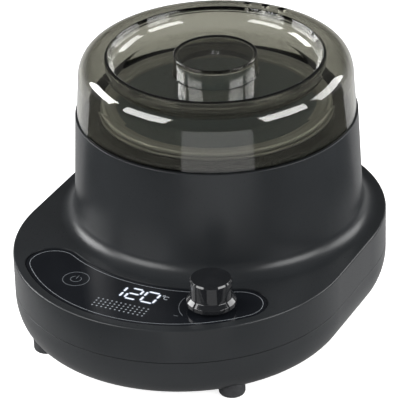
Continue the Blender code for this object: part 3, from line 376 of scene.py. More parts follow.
def ringsToMesh(name, rings, closed=False, capStart=True, capEnd=True):
    # rings of (x, y, z) in mm; a ring of one point is a pole
    work = bmesh.new()
    loops = [[work.verts.new(Vector(p) * mm) for p in ring] for ring in rings]
    pairs = list(zip(loops, loops[1:]))
    if closed:
        pairs.append((loops[-1], loops[0]))
    for low, high in pairs:
        count = max(len(low), len(high))
        for i in range(count):
            j = (i + 1) % count
            if len(low) == 1:
                work.faces.new((low[0], high[j], high[i]))
            elif len(high) == 1:
                work.faces.new((low[i], low[j], high[0]))
            else:
                work.faces.new((low[i], low[j], high[j], high[i]))
    if not closed and capStart and len(loops[0]) > 1:
        work.faces.new(list(reversed(loops[0])))
    if not closed and capEnd and len(loops[-1]) > 1:
        work.faces.new(loops[-1])
    bmesh.ops.recalc_face_normals(work, faces=work.faces)
    mesh = bpy.data.meshes.new(name)
    work.to_mesh(mesh)
    work.free()
    return mesh


def turnedMesh(name, profile, at=drumAt, steps=180, closed=False):
    # profile of (radius, height) in mm about a vertical axis
    rings = []
    for radius, height in profile:
        if radius < 1e-6:
            rings.append([(at[0], at[1], height)])
            continue
        ring = []
        for i in range(steps):
            turn = 2 * math.pi * i / steps
            ring.append((at[0] + radius * math.cos(turn), at[1] + radius * math.sin(turn), height))
        rings.append(ring)
    return ringsToMesh(name, rings, closed)


def obroundRing(radius, height, steps=90):
    rear = arcPoints((0.0, drumY), radius, 0, 180, steps)
    front = arcPoints((0.0, frontY), radius, 180, 360, steps)
    return [(x, y, height) for x, y in rear + front]


def cutterFrom(mesh):
    item = bpy.data.objects.new("cutter", mesh)
    bpy.context.scene.collection.objects.link(item)
    return item


def cutAway(mesh, *cutters):
    # one Boolean for each cutter mesh, applied, so that the piece keeps a plain mesh
    item = bpy.data.objects.new("work", mesh)
    bpy.context.scene.collection.objects.link(item)
    tools = [cutterFrom(c) for c in cutters]
    for tool in tools:
        step = item.modifiers.new("cut", "BOOLEAN")
        step.operation = "DIFFERENCE"
        step.object = tool
    bpy.context.view_layer.update()
    graph = bpy.context.evaluated_depsgraph_get()
    result = bpy.data.meshes.new_from_object(item.evaluated_get(graph))
    for thing in [item, *tools]:
        bpy.data.objects.remove(thing)
    result.materials.clear()
    return result


def boxMesh(name, low, high):
    rings = []
    for height in (low[2], high[2]):
        rings.append([(low[0], low[1], height), (high[0], low[1], height),
                      (high[0], high[1], height), (low[0], high[1], height)])
    return ringsToMesh(name, rings)


def joined(name, meshes):
    work = bmesh.new()
    for mesh in meshes:
        work.from_mesh(mesh)
    result = bpy.data.meshes.new(name)
    work.to_mesh(result)
    work.free()
    return result


def plateMesh(name, outline, low, high, edge=0.0, steps=2):
    # an outline of (x, y) made solid, with its top edge rounded by pulling the last rings in
    rings = [[(x, y, low) for x, y in outline], [(x, y, high - edge) for x, y in outline]]
    if edge:
        count = len(outline)
        for s in range(1, steps + 1):
            turn = math.pi / 2 * s / steps
            pull = edge * (1 - math.cos(turn))
            ring = []
            for i, (x, y) in enumerate(outline):
                before, after = Vector(outline[i - 1]), Vector(outline[(i + 1) % count])
                along = (after - before).normalized()
                ring.append((x - along.y * pull, y + along.x * pull, high - edge + edge * math.sin(turn)))
            rings.append(ring)
    return ringsToMesh(name, rings)


# The case

case = {  # sizes and heights in mm, here and in the dictionaries below
    "baseRadius": 88.5,
    "deckHeight": 46.3,
    "deckEdge": 1.0,
    "seamHeight": 27.1,
    "seamGap": 0.3,
    "seamEdge": 0.06,
    "wallStart": 0.25,  # where the straight wall starts above the seam
    "lipClearance": 0.4,
    "lipHeight": 2.9,
    "lipReach": 2.0,
    "lipRoot": 3.0,
    "undersideHeight": 5.0,
    "cornerWidth": 10.7,
    "cornerHeight": 18.2,
    "wall": 2.5,
    "deckThickness": 3.0,
    "drumRimRadius": 73.9,
    "drumFootRadius": 76.2,
    "drumRimHeight": 104.0,
    "drumFillet": 8.3,
    "rimRound": 0.4,
    "rimInnerRound": 0.3,
    "shelfTop": 97.5,
    "shelfRadius": 64.8,
    "shelfThickness": 2.2,
}

panel = {
    "frontMargin": 5.1,
    "rearMargin": 4.0,
    "endRadius": 14.2,
    "sink": 0.65,
    "thickness": 1.6,
    "clearance": 0.3,
    "recessEdge": 0.3,
    "recessBend": 0.3,  # share of that edge at which its slope bends
    "ledge": 3.1,
    "edge": 0.2,
    "hole": 3.8,
    "holeCut": (30, 60),
    "borderInset": 2.2,
    "borderWidth": 0.3,
}

inlet = {
    "flange": 1.4,
    "inset": (2.0, 1.5),  # from the flange's edge to the body, across and up
    "depth": 12.0,
    "overrun": 8.0,
}


def kidney(grow, steps=(40, 20, 50)):
    # an arc round the drum, one round the front end, and two round ends between them
    inner = case["drumFootRadius"] + case["drumFillet"] + panel["rearMargin"] - grow
    outer = case["baseRadius"] - panel["frontMargin"] + grow
    end = panel["endRadius"] + grow
    span = drumY - frontY
    near, far = inner + end, outer - end
    endY = -(near ** 2 - far ** 2 + span ** 2) / (2 * span)
    endX = math.sqrt(near ** 2 - endY ** 2)
    drumTurn = math.degrees(math.atan2(endX, -endY))
    frontTurn = math.degrees(math.atan2(endX, -(endY + span)))
    right, left = (endX, drumY + endY), (-endX, drumY + endY)
    points = arcPoints((0, drumY), inner, -90 - drumTurn, -90 + drumTurn, steps[0])
    points += arcPoints(right, end, 90 + drumTurn, frontTurn - 90, steps[1])[1:]
    points += arcPoints((0, frontY), outer, frontTurn - 90, -frontTurn - 90, steps[2])[1:]
    points += arcPoints(left, end, -90 - frontTurn, -270 - drumTurn, steps[1])[1:-1]
    return points[::-1]


def flatFill(work, loops, up):
    # fills a level face that has holes: the first loop is its outside, the others are holes
    flat, edges, verts = [], [], []
    for loop in loops:
        first = len(flat)
        flat += [Vector((v.co.x, v.co.y)) for v in loop]
        verts += loop
        edges += [(first + i, first + (i + 1) % len(loop)) for i in range(len(loop))]
    found = delaunay_2d_cdt(flat, edges, [], 0, 1e-7)
    if len(found[0]) != len(flat):
        print("level fill made extra points:", len(found[0]) - len(flat))
    back = [verts[ids[0]] for ids in found[3]]
    outlines = [[Vector((v.co.x, v.co.y)) for v in loop] for loop in loops]
    for face in found[2]:
        middle = sum((found[0][i] for i in face), Vector((0, 0))) / len(face)
        if not inside(middle, outlines[0]) or any(inside(middle, hole) for hole in outlines[1:]):
            continue
        try:
            made = work.faces.new([back[i] for i in face])
        except ValueError:
            continue
        made.normal_update()
        if (made.normal.z > 0) != up:
            made.normal_flip()


def inside(point, outline):
    # even-odd test
    odd = False
    for i, a in enumerate(outline):
        b = outline[i - 1]
        if (a.y > point.y) != (b.y > point.y):
            if point.x < (b.x - a.x) * (point.y - a.y) / (b.y - a.y) + a.x:
                odd = not odd
    return odd


def makeUpperCase():
    # One moulding: side wall, deck with the panel's recess, fillet, drum and the shelf inside it.
    c, p = case, panel
    work = bmesh.new()

    def loopOf(points):
        return [work.verts.new(Vector(q) * mm) for q in points]

    def bridge(a, b):
        for i in range(len(a)):
            j = (i + 1) % len(a)
            work.faces.new((a[i], a[j], b[j], b[i]))

    def chain(loops):
        for a, b in zip(loops, loops[1:]):
            bridge(a, b)
        return loops

    def circle(radius, height, steps=240):
        return loopOf([(x, y, height) for x, y in arcPoints(drumAt, radius, 0, 360, steps)[:-1]])

    low = c["seamHeight"] + c["seamGap"] / 2
    edge = c["deckEdge"]
    deck, under = c["deckHeight"], c["deckHeight"] - c["deckThickness"]
    insideRadius = c["baseRadius"] - c["wall"]
    crisp = c["seamEdge"]
    outside = [loopOf(obroundRing(insideRadius, low)), loopOf(obroundRing(c["baseRadius"] - crisp, low)),
               loopOf(obroundRing(c["baseRadius"], low + crisp))]
    wallLow = low + c["wallStart"]
    for step in (0.5, 1.0):
        height = wallLow + (deck - edge - wallLow) * step
        outside.append(loopOf(obroundRing(c["baseRadius"], height)))
    for radius, height in arcPoints((c["baseRadius"] - edge, deck - edge), edge, 0, 90, 5)[1:]:
        outside.append(loopOf(obroundRing(radius, height)))
    chain(outside)

    foot = c["drumFootRadius"] + c["drumFillet"]
    profile = arcPoints((foot, deck + c["drumFillet"]), c["drumFillet"], 270, 180, 12)
    rim, rimRound = c["drumRimRadius"], c["rimRound"]
    profile += arcPoints((rim - rimRound, c["drumRimHeight"] - rimRound), rimRound, 0, 90, 4)
    inner = rim - c["wall"]
    draft = (c["drumFootRadius"] - rim) / (c["drumRimHeight"] - deck)
    shelfLow = c["shelfTop"] - c["shelfThickness"]
    innerRound = c["rimInnerRound"]
    profile += arcPoints((inner + innerRound, c["drumRimHeight"] - innerRound), innerRound, 90, 180, 2)
    profile += [
        (inner + draft * (c["drumRimHeight"] - c["shelfTop"]), c["shelfTop"]),
        (c["shelfRadius"], c["shelfTop"]),
        (c["shelfRadius"], shelfLow),
        (inner + draft * (c["drumRimHeight"] - shelfLow), shelfLow),
        (inner + draft * (c["drumRimHeight"] - deck - c["drumFillet"]), deck + c["drumFillet"]),
        (c["drumFootRadius"] + c["wall"], under),
    ]
    drum = chain([circle(radius, height) for radius, height in profile])

    pocketLow = deck - p["sink"] - p["thickness"] - seatGap
    edge = p["recessEdge"]
    bend = p["recessBend"] * edge
    recess = chain([
        loopOf([(x, y, deck) for x, y in kidney(p["clearance"] + edge)]),
        loopOf([(x, y, deck - bend) for x, y in kidney(p["clearance"] + bend)]),
        loopOf([(x, y, deck - edge) for x, y in kidney(p["clearance"])]),
        loopOf([(x, y, pocketLow) for x, y in kidney(p["clearance"])]),
        loopOf([(x, y, pocketLow) for x, y in kidney(-p["ledge"])]),
        loopOf([(x, y, under) for x, y in kidney(-p["ledge"])]),
    ])
    flatFill(work, [outside[-1], drum[0], recess[0]], True)
    ceiling = loopOf(obroundRing(insideRadius, under))
    bridge(ceiling, outside[0])
    flatFill(work, [ceiling, drum[-1], recess[-1]], False)
    bmesh.ops.recalc_face_normals(work, faces=work.faces)
    mesh = bpy.data.meshes.new("upperCase")
    work.to_mesh(mesh)
    work.free()
    near, far = (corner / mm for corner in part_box("mains_inlet"))
    across, up = inlet["inset"]
    pocket = boxMesh(
        "inletPocket",
        (near.x - seatGap, far.y - inlet["flange"] - seatGap, near.z - seatGap),
        (far.x + seatGap, far.y + inlet["overrun"], far.z + seatGap),
    )
    hole = boxMesh(
        "inletHole",
        (near.x + across - seatGap, far.y - inlet["depth"], near.z + up - seatGap),
        (far.x - across + seatGap, far.y + inlet["overrun"], far.z - up + seatGap),
    )
    mesh = cutAway(mesh, pocket, hole)
    item = finishObject("upperCase", mesh, "base", finishes["case"])
    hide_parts("upper_shell")
    return item


feet = {
    "radius": 6.8,
    "round": 1.6,
    "socket": 9.3,
    "stem": 2.4,
    "head": 3.4,  # the barb that holds the foot
    "headTip": 1.7,
    "headHeight": 2.2,
    "places": {
        "foot_front_left": (-1, -1), "foot_front_right": (1, -1),
        "foot_rear_left": (-1, 1), "foot_rear_right": (1, 1),
    },
}
underside = {
    "counterbore": 3.6,
    "counterboreDepth": 12.0,
    "slotWidth": 2.4,
    "slotLength": 30.0,
    "slotPitch": 6.0,
    "slotCount": 7,
    "slotStart": 12.0,
}


def centreOf(node):
    low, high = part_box(node)
    return ((low.x + high.x) / 2 / mm, (low.y + high.y) / 2 / mm)


def makeLowerCase():
    # A shallow dish: upright wall, a full elliptical corner and a flat underside with slots and sockets.
    c = case
    top = c["seamHeight"] - c["seamGap"] / 2
    corner = arcPoints(
        (c["baseRadius"] - c["cornerWidth"], c["undersideHeight"] + c["cornerHeight"]),
        (c["cornerWidth"], c["cornerHeight"]), -90, 0, 24,
    )
    radius = c["baseRadius"]
    inRadius = radius - c["wall"]
    rings = [obroundRing(r, z) for r, z in corner]
    rings += [obroundRing(radius, top - c["seamEdge"]), obroundRing(radius - c["seamEdge"], top)]
    lipOuter, lipInner = inRadius - c["lipClearance"], inRadius - c["lipReach"]
    lipTop = top + c["lipHeight"]
    rings += [obroundRing(lipOuter, top), obroundRing(lipOuter, lipTop)]
    rings += [obroundRing(lipInner, lipTop), obroundRing(lipInner, top - c["lipRoot"])]
    floor = c["undersideHeight"] + c["wall"]
    inner = arcPoints(
        (inRadius - c["cornerWidth"], floor + c["cornerHeight"]),
        (c["cornerWidth"], c["cornerHeight"]), -20, -90, 8,
    )
    rings += [obroundRing(r, z) for r, z in inner]
    mesh = ringsToMesh("lowerCase", rings)
    cutters = []
    for node in feet["places"]:
        at = centreOf(node)
        size = feet["radius"] + seatGap
        profile = [(0, feet["socket"]), (size, feet["socket"]), (size, -1), (0, -1)]
        cutters.append(turnedMesh("socket", profile, at, 48))
    for name in ("front_left", "front_right", "rear_left", "rear_right"):
        at = centreOf("case_screw_" + name)
        size = underside["counterbore"]
        deep = underside["counterboreDepth"]
        cutters.append(turnedMesh("counterbore", [(0, deep), (size, deep), (size, -1), (0, -1)], at, 32))
    for side in (-1, 1):
        for i in range(underside["slotCount"]):
            x = (i - (underside["slotCount"] - 1) / 2) * underside["slotPitch"]
            near = side * underside["slotStart"]
            far = side * (underside["slotStart"] + underside["slotLength"])
            half = underside["slotWidth"] / 2
            ends = sorted((near, far))
            outline = arcPoints((x, ends[1] - half), half, 0, 180, 6)
            outline += arcPoints((x, ends[0] + half), half, 180, 360, 6)
            cutters.append(plateMesh("slot", outline, 0.0, floor + 1.0))
    mesh = cutAway(mesh, joined("cutters", cutters))
    item = finishObject("lowerCase", mesh, "base", finishes["case"])
    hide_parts("lower_shell")
    return item


def makeFeet():
    for node in feet["places"]:
        at = centreOf(node)
        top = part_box(node)[1].z / mm
        neck = top - feet["headHeight"]
        shoulder = feet["socket"] - seatGap
        profile = rounded([
            (0, top), (feet["headTip"], top), (feet["head"], neck), (feet["stem"], neck),
            (feet["stem"], shoulder), (feet["radius"], shoulder),
            (feet["radius"], 0, feet["round"]), (0, 0),
        ], 6)
        mesh = turnedMesh(node + "Foot", profile, at, 56)
        name = "rubberFoot" + node[5:].title().replace("_", "")
        item = finishObject(name, mesh, "base", finishes["rubber"])
        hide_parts(node)


makeUpperCase()
makeLowerCase()
makeFeet()
print("case made")


# Heat chamber, pot and lid

chamber = {
    "lipRadius": 70.0,
    "lipWall": 2.5,
    "lipTop": 106.0,
    "flangeRadius": 71.0,
    "flangeLow": 97.8,
    "flangeHigh": 100.3,
    "collarRadius": 61.5,
    "collarWall": 3.0,
    "wellRadius": 54.3,
    "wellWall": 1.5,
    "wellCorner": 8.6,
    "wellFlange": 61.2,
    "wellFlangeThickness": 1.2,
    "wellMouthRound": 0.8,
    "lipRound": 0.5,
    "edgeRound": 0.4,
    "flangeRound": 0.3,
    "grooveRound": 0.8,
}
pot = {
    "radius": 52.0,
    "wall": 1.5,
    "top": 108.7,
    "depth": 68.0,
    "corner": 8.0,
    "flange": 60.0,
    "bead": 0.8,
    "mouthRound": 1.6,
    "beadFootRound": 0.8,
    "beadInnerRound": 0.7,
    "beadOuterRound": 0.6,
    "flangeRound": 0.4,
    "neck": 1.0,
    "brightEdge": 2.5,  # the turned band left bright at the top of the wall
}
lid = {
    "radius": 73.0,
    "wall": 2.4,
    "low": 104.3,
    "height": 31.9,
    "shoulderHeight": 18.0,
    "shoulderRadius": 71.8,
    "crestRadius": 61.0,
    "bowlRadius": 55.6,
    "shoulderPower": 2.37,
    "bowlEdge": 0.8,
    "bowlRound": 7.0,
    "innerRound": 0.5,
    "sideWall": 1.4,
    "floorRadius": 48.3,
    "floorHeight": 21.0,
    "gateRadius": 1.9,
    "gateRise": 0.2,
    "knobRadius": 21.8,
    "knobHeight": 10.7,
    "knobDraft": 0.3,
    "knobEdge": 0.7,
    "ventRadius": 2.1,
    "ventCircle": 62.2,
    "ventPitch": 10.0,
    "ventCut": (1.0, 7.0),  # above and below the top
    "rimEdge": 0.5,
    "rimCorner": 0.15,
    "rimInner": 0.4,
}


def makeChamber():
    ch, p = chamber, pot
    wellTop = p["top"] - p["wall"] - seatGap
    wellFlangeLow = wellTop - ch["wellFlangeThickness"]
    collarTop = wellFlangeLow - seatGap
    lip, lipInner, lipTop = ch["lipRadius"], ch["lipRadius"] - ch["lipWall"], ch["lipTop"]
    low, high = ch["flangeLow"], ch["flangeHigh"]
    collar, collarInner = ch["collarRadius"], ch["collarRadius"] - ch["collarWall"]
    start = (lipInner, (high + lipTop) / 2)
    profile = rounded([
        start, (lipInner, lipTop, ch["lipRound"]), (lip, lipTop, ch["lipRound"]),
        (lip, high, ch["flangeRound"]), (ch["flangeRadius"], high, ch["flangeRound"]),
        (ch["flangeRadius"], low), (collarInner, low), (collarInner, collarTop, ch["edgeRound"]),
        (collar, collarTop, ch["edgeRound"]), (collar, high, ch["grooveRound"]),
        (lipInner, high, ch["grooveRound"]), start,
    ], 3)[:-1]
    mesh = turnedMesh("chamberRing", profile, closed=True)
    ring = finishObject("chamberRing", mesh, "base", finishes["pbt"])
    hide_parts("chamber_ring")
    floor = p["top"] - p["depth"] - p["wall"] - seatGap
    r, w, corner = ch["wellRadius"], ch["wellWall"], ch["wellCorner"]
    profile = [(0, floor)] + arcPoints((r - corner, floor + corner), corner, -90, 0, 10)
    edge = ch["edgeRound"]
    profile += rounded([
        (r, floor + corner), (r, wellTop, ch["wellMouthRound"]), (ch["wellFlange"], wellTop, edge),
        (ch["wellFlange"], wellFlangeLow, edge), (r + w, wellFlangeLow), (r + w, floor + corner),
    ], 3)[1:-1]
    profile += arcPoints((r - corner, floor + corner), corner + w, 0, -90, 10) + [(0, floor - w)]
    mesh = turnedMesh("heatingWell", profile)
    well = finishObject("heatingWell", mesh, "base", finishes["well"])
    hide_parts("heating_well")


def makePot():
    # Spun pot: a flange with a raised bead that stiffens it, and a blasted inside
    p = pot
    r, w, corner, bead, mouth = p["radius"], p["wall"], p["corner"], p["bead"], p["mouthRound"]
    floor, top = p["top"] - p["depth"], p["top"]
    inner = [(0, floor)] + arcPoints((r - corner, floor + corner), corner, -90, 0, 12)
    inner += [(r, top - p["brightEdge"])] + arcPoints((r + mouth, top - mouth), mouth, 180, 90, 6)
    out = p["flange"]
    neck = r + w + p["neck"]
    edge = rounded([
        (out - 4 * bead, top), (out - 2.6 * bead, top, p["beadFootRound"]),
        (out - 2 * bead, top + bead, p["beadInnerRound"]),
        (out - 0.8 * bead, top + bead, p["beadOuterRound"]), (out, top, p["beadOuterRound"]),
        (out, top - w, p["flangeRound"]), (neck, top - w), (r + w, top - w - p["neck"]),
        (r + w, floor + corner),
    ], 4)
    outer = arcPoints((r - corner, floor + corner), corner + w, 0, -90, 12)[1:] + [(0, floor - w)]
    mesh = turnedMesh("waxPot", inner + edge + outer)
    skins = [finishes["pot"], finishes["potInside"]]
    item = finishObject("waxPot", mesh, "pot", skins)
    for face in item.data.polygons:
        middle = face.center / mm
        reach = math.hypot(middle.x, middle.y - drumY)
        if reach < r + 0.1 and floor - 0.001 < middle.z < top - p["brightEdge"]:
            face.material_index = 1
    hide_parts("wax_pot")


def lidLine(inset, side, edgeRound, steps):
    # from the grip's foot out: bowl floor, cove, crest and shoulder, moved into the wall by the inset,
    # and by the thinner side where the bowl and the grip draw upright out of the mould
    q = lid
    floor, top = q["low"] + q["floorHeight"], q["low"] + q["height"]
    foot = q["knobRadius"] + q["knobDraft"] - side
    root = q["knobEdge"]
    points = arcPoints((foot + root, floor - inset + root), root, 180, 270, 4)
    points += arcPoints((q["floorRadius"], floor + q["bowlRound"]), q["bowlRound"] + inset, -90, 0, steps)
    bowl = q["bowlRadius"] + side
    points += arcPoints((bowl + edgeRound, top - inset - edgeRound), edgeRound, 180, 90, steps)
    shoulder = q["low"] + q["shoulderHeight"]
    width = q["shoulderRadius"] - inset - q["crestRadius"]
    for i in range(1, 2 * steps + 1):
        turn = math.pi / 2 * (1 - i / (2 * steps))
        out = max(math.cos(turn), 0.0) ** (2 / q["shoulderPower"])
        up = max(math.sin(turn), 0.0) ** (2 / q["shoulderPower"])
        points.append((q["crestRadius"] + width * out, shoulder + (top - inset - shoulder) * up))
    return points


def makeLid():
    # One shell, its grip hollow from below, with the moulding gate's ring left on the grip
    q = lid
    top = q["low"] + q["height"]
    knobTop = q["low"] + q["floorHeight"] + q["knobHeight"]
    w, side, edge, gate = q["wall"], q["sideWall"], q["knobEdge"], q["gateRadius"]
    rise = q["gateRise"]
    middle = q["knobRadius"] * 0.6
    outside = [(0, knobTop), (gate - 2 * rise, knobTop), (gate - 1.4 * rise, knobTop + rise)]
    outside += [(gate - 0.6 * rise, knobTop + rise), (gate, knobTop), (middle, knobTop)]
    outside += arcPoints((q["knobRadius"] - edge, knobTop - edge), edge, 90, 0, 5)
    outside += lidLine(0.0, 0.0, q["bowlEdge"], 14)
    hollow = [(0, knobTop - w), (middle, knobTop - w)]
    hollow += arcPoints((q["knobRadius"] - side - edge, knobTop - w - edge), edge, 90, 0, 4)
    hollow += lidLine(w, side, q["innerRound"], 12)
    radius, low, rimEdge, corner = q["radius"], q["low"], q["rimEdge"], q["rimCorner"]
    rim = [(radius, low + rimEdge), (radius - corner, low + corner), (radius - rimEdge, low)]
    rim += [(radius - w + q["rimInner"], low), (radius - w, low + q["rimInner"])]
    mesh = turnedMesh("lid", outside + rim + hollow[::-1], steps=240)
    vents = []
    size, above, below = q["ventRadius"], top + q["ventCut"][0], top - q["ventCut"][1]
    drill = [(0, above), (size, above), (size, below), (0, below)]
    for i in (-1, 0, 1):
        x = i * q["ventPitch"]
        y = drumY + math.sqrt(q["ventCircle"] ** 2 - x ** 2)
        vents.append(turnedMesh("vent", drill, (x, y), 32))
    mesh = cutAway(mesh, joined("vents", vents))
    item = finishObject("smokedLid", mesh, "lid", finishes["lid"], 40)
    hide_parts("lid")


makeChamber()
makePot()
makeLid()
print("chamber, pot and lid made")


# Panel, marks and knob

marks = {
    "raise": 0.02,
    "thickness": 0.03,
    "line": 0.36,
    "power": (-34.2, -98.2),
    "powerRing": 6.8,
    "powerInner": 2.8,
    "powerStem": (0.2, 3.5),
    "digits": (("1", -12.9, 7.5), ("2", -3.8, 7.5), ("0", 5.0, 8.2)),  # figure, left edge and width
    "digitHeight": 11.1,
    "digitTop": -94.5,
    "digitStroke": 1.15,
    "digitSlant": 0.01,
    "digitGap": 0.45,
    "haloStroke": 2.1,
    "dotRadius": 0.48,
    "degree": (14.9, -95.9),
    "degreeRing": (0.6, 0.4),  # radius and stroke
    "degreeC": (16.9, -97.4),
    "degreeCRing": (1.35, 0.5),
    "dotColumns": 12,
    "dotRows": 4,
    "dotPitch": (2.545, 2.33),
    "dotStart": (-14.8, -110.5),
    "arcRadius": 16.4,
    "arcTurn": (170, 234),
    "minus": (28.5, -110.7),
    "minusHalf": 1.2,
}
knob = {
    "top": 62.7,
    "low": 48.0,
    "radius": 10.65,
    "skirtRadius": 12.6,
    "skirtHeight": 2.5,
    "flareHeight": 2.2,
    "edge": 0.6,
    "edgeHeight": 1.0,
    "wall": 1.6,
    "roof": 3.0,
    "hubRadius": 4.6,
    "bore": 3.1,
    "topRounds": (0.15, 0.3),
    "flareRound": 0.8,
    "skirtRounds": (0.4, 0.6),
    "insideRound": 0.2,
}
knobAt = centreOf("control_knob")
panelTop = case["deckHeight"] - panel["sink"]


def makePanel():
    outline = kidney(0.0)[::-1]
    mesh = plateMesh("panelLens", outline, panelTop - panel["thickness"], panelTop, panel["edge"])
    size, (low, high) = panel["hole"], panel["holeCut"]
    hole = turnedMesh("hole", [(0, high), (size, high), (size, low), (0, low)], knobAt, 64)
    mesh = cutAway(mesh, hole)
    item = finishObject("panelLens", mesh, "base", finishes["lens"])
    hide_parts("control_panel")


def markPlate(name, outlines, material, lift=0.0):
    # thin closed plates lying on the lens; outlines are in mm from the drum's axis
    low = panelTop + marks["raise"] + lift
    meshes = []
    for outline in outlines:
        placed = [(x, y + drumY) for x, y in outline]
        area = sum(a[0] * b[1] - b[0] * a[1] for a, b in zip(placed, placed[1:] + placed[:1]))
        if area < 0:
            placed = placed[::-1]
        meshes.append(plateMesh(name, placed, low, low + marks["thickness"]))
    finishObject(name, joined(name, meshes), "base", material)


def strokeArc(centre, radius, width, start, end, steps=40):
    outer = arcPoints(centre, radius + width / 2, start, end, steps)
    inner = arcPoints(centre, radius - width / 2, end, start, steps)
    return outer + inner


def segmentShape(a, b, stroke):
    # a seven-segment bar with pointed ends, from a to b
    a, b = Vector(a), Vector(b)
    along = (b - a).normalized()
    side = Vector((-along.y, along.x)) * stroke / 2
    tip = along * stroke / 2
    return [tuple(p) for p in (a, a + tip + side, b - tip + side, b, b - tip - side, a + tip - side)]


def digitShapes(which, x, width, stroke, gap):
    m = marks
    top, height, slant = m["digitTop"], m["digitHeight"], m["digitSlant"]
    bars = {
        "a": ((0, 0), (1, 0)), "b": ((1, 0), (1, -0.5)), "c": ((1, -0.5), (1, -1)),
        "d": ((0, -1), (1, -1)), "e": ((0, -0.5), (0, -1)), "f": ((0, 0), (0, -0.5)),
        "g": ((0, -0.5), (1, -0.5)),
    }
    lit = {"0": "abcdef", "1": "bc", "2": "abged"}[which]
    edge = m["digitStroke"]
    inner = (width - edge, height - edge)
    shapes = []
    for bar in lit:
        ends = []
        for u, v in bars[bar]:
            px = x + edge / 2 + u * inner[0]
            py = top - edge / 2 + v * inner[1]
            ends.append(Vector((px + slant * (py - top + height / 2), py)))
        along = (ends[1] - ends[0]).normalized() * gap
        shapes.append(segmentShape(ends[0] + along, ends[1] - along, stroke))
    return shapes


def makeMarks():
    m = marks
    line = m["line"]
    half = line / 2
    centre = m["power"]
    power = [strokeArc(centre, m["powerRing"], line, start, start + 179.5) for start in (0, 180)]
    power += [strokeArc(centre, m["powerInner"], line, *span) for span in ((120, 270), (270.5, 420))]
    left, right = centre[0] - half, centre[0] + half
    foot, tip = (centre[1] + reach for reach in m["powerStem"])
    power.append([(left, foot), (right, foot), (right, tip), (left, tip)])
    markPlate("powerMark", power, finishes["ink"])
    figures, halos = [], []
    for which, x, width in m["digits"]:
        figures += digitShapes(which, x, width, m["digitStroke"], m["digitGap"])
        halos += digitShapes(which, x, width, m["haloStroke"], 0.0)
    markPlate("figureGlow", halos, finishes["ledGlow"])
    markPlate("litFigures", figures, finishes["led"], 2 * m["thickness"])
    degree = [strokeArc(m["degree"], *m["degreeRing"], start, start + 179) for start in (0, 180)]
    degree.append(strokeArc(m["degreeC"], *m["degreeCRing"], 50, 310))
    markPlate("degreeMark", degree, finishes["ledDim"])
    dots = []
    for row in range(m["dotRows"]):
        for column in range(m["dotColumns"]):
            x = m["dotStart"][0] + column * m["dotPitch"][0]
            y = m["dotStart"][1] - row * m["dotPitch"][1]
            dots.append(arcPoints((x, y), m["dotRadius"], 0, 324, 9))
    markPlate("dotField", dots, finishes["ledDim"])
    axis = (knobAt[0], knobAt[1] - drumY)
    arcs = [strokeArc(axis, m["arcRadius"], line, *m["arcTurn"])]
    left, right = m["minus"][0] - m["minusHalf"], m["minus"][0] + m["minusHalf"]
    low, high = m["minus"][1] - half, m["minus"][1] + half
    arcs.append([(left, low), (right, low), (right, high), (left, high)])
    markPlate("turnMark", arcs, finishes["ink"])
    inset, width = panel["borderInset"], panel["borderWidth"]
    low, high = panelTop + m["raise"], panelTop + m["raise"] + m["thickness"]
    outer, inner = kidney(-inset + width / 2), kidney(-inset - width / 2)
    border = ringsToMesh("lensBorder", [
        [(x, y, low) for x, y in outer], [(x, y, high) for x, y in outer],
        [(x, y, high) for x, y in inner], [(x, y, low) for x, y in inner],
    ], closed=True)
    finishObject("lensBorder", border, "base", finishes["silver"])


def makeKnob():
    k = knob
    top, low, radius, skirt = k["top"], k["low"], k["radius"], k["skirtRadius"]
    skirtTop = low + k["skirtHeight"]
    roof, inside, hubLow = top - k["roof"], radius - k["wall"], low + seatGap
    profile = rounded([
        (0, top), (radius - k["edge"], top, k["topRounds"][0]),
        (radius, top - k["edgeHeight"], k["topRounds"][1]),
        (radius, skirtTop + k["flareHeight"], k["flareRound"]),
        (skirt, skirtTop, k["skirtRounds"][0]), (skirt, low, k["skirtRounds"][1]),
        (inside, low, k["insideRound"]), (inside, roof), (k["hubRadius"], roof),
        (k["hubRadius"], hubLow), (k["bore"], hubLow), (k["bore"], roof), (0, roof),
    ], 4)
    mesh = turnedMesh("turnKnob", profile, knobAt, 96)
    item = finishObject("turnKnob", mesh, "knob", finishes["knob"])
    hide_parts("control_knob")


makePanel()
makeMarks()
makeKnob()
print("panel and knob made")


# Finishes of the inner pieces

innerFinishes = {
    "steel": ("clamp_screw", "sensor_clip", "encoder_body", "touch_spring", "inlet_pin_left",
              "inlet_pin_right", "case_screw_front_left", "case_screw_front_right",
              "case_screw_rear_left", "case_screw_rear_right", "ring_screw_1", "ring_screw_2",
              "ring_screw_3", "panel_board_screw_left", "panel_board_screw_right",
              "panel_board_screw_back", "power_board_screw_left", "power_board_screw_right"),
    "well": ("temperature_sensor", "encoder_shaft"),
    "mica": ("heater_band",),
    "felt": ("heat_sleeve",),
    "board": ("control_board", "power_board"),
    "white": ("display_module", "dot_field_module", "encoder_plunger", "mains_fuse"),
    "blue": ("power_relay",),
    "green": ("terminal_block",),
    "pbt": ("heat_cutout", "buzzer", "supply_block", "filter_capacitor", "mains_inlet"),
}
for finish, names in innerFinishes.items():
    for name in names:
        mesh = nodes[name].data
        mesh.materials.clear()
        mesh.materials.append(finishes[finish])
print("inner pieces finished")


# Floor, light and camera

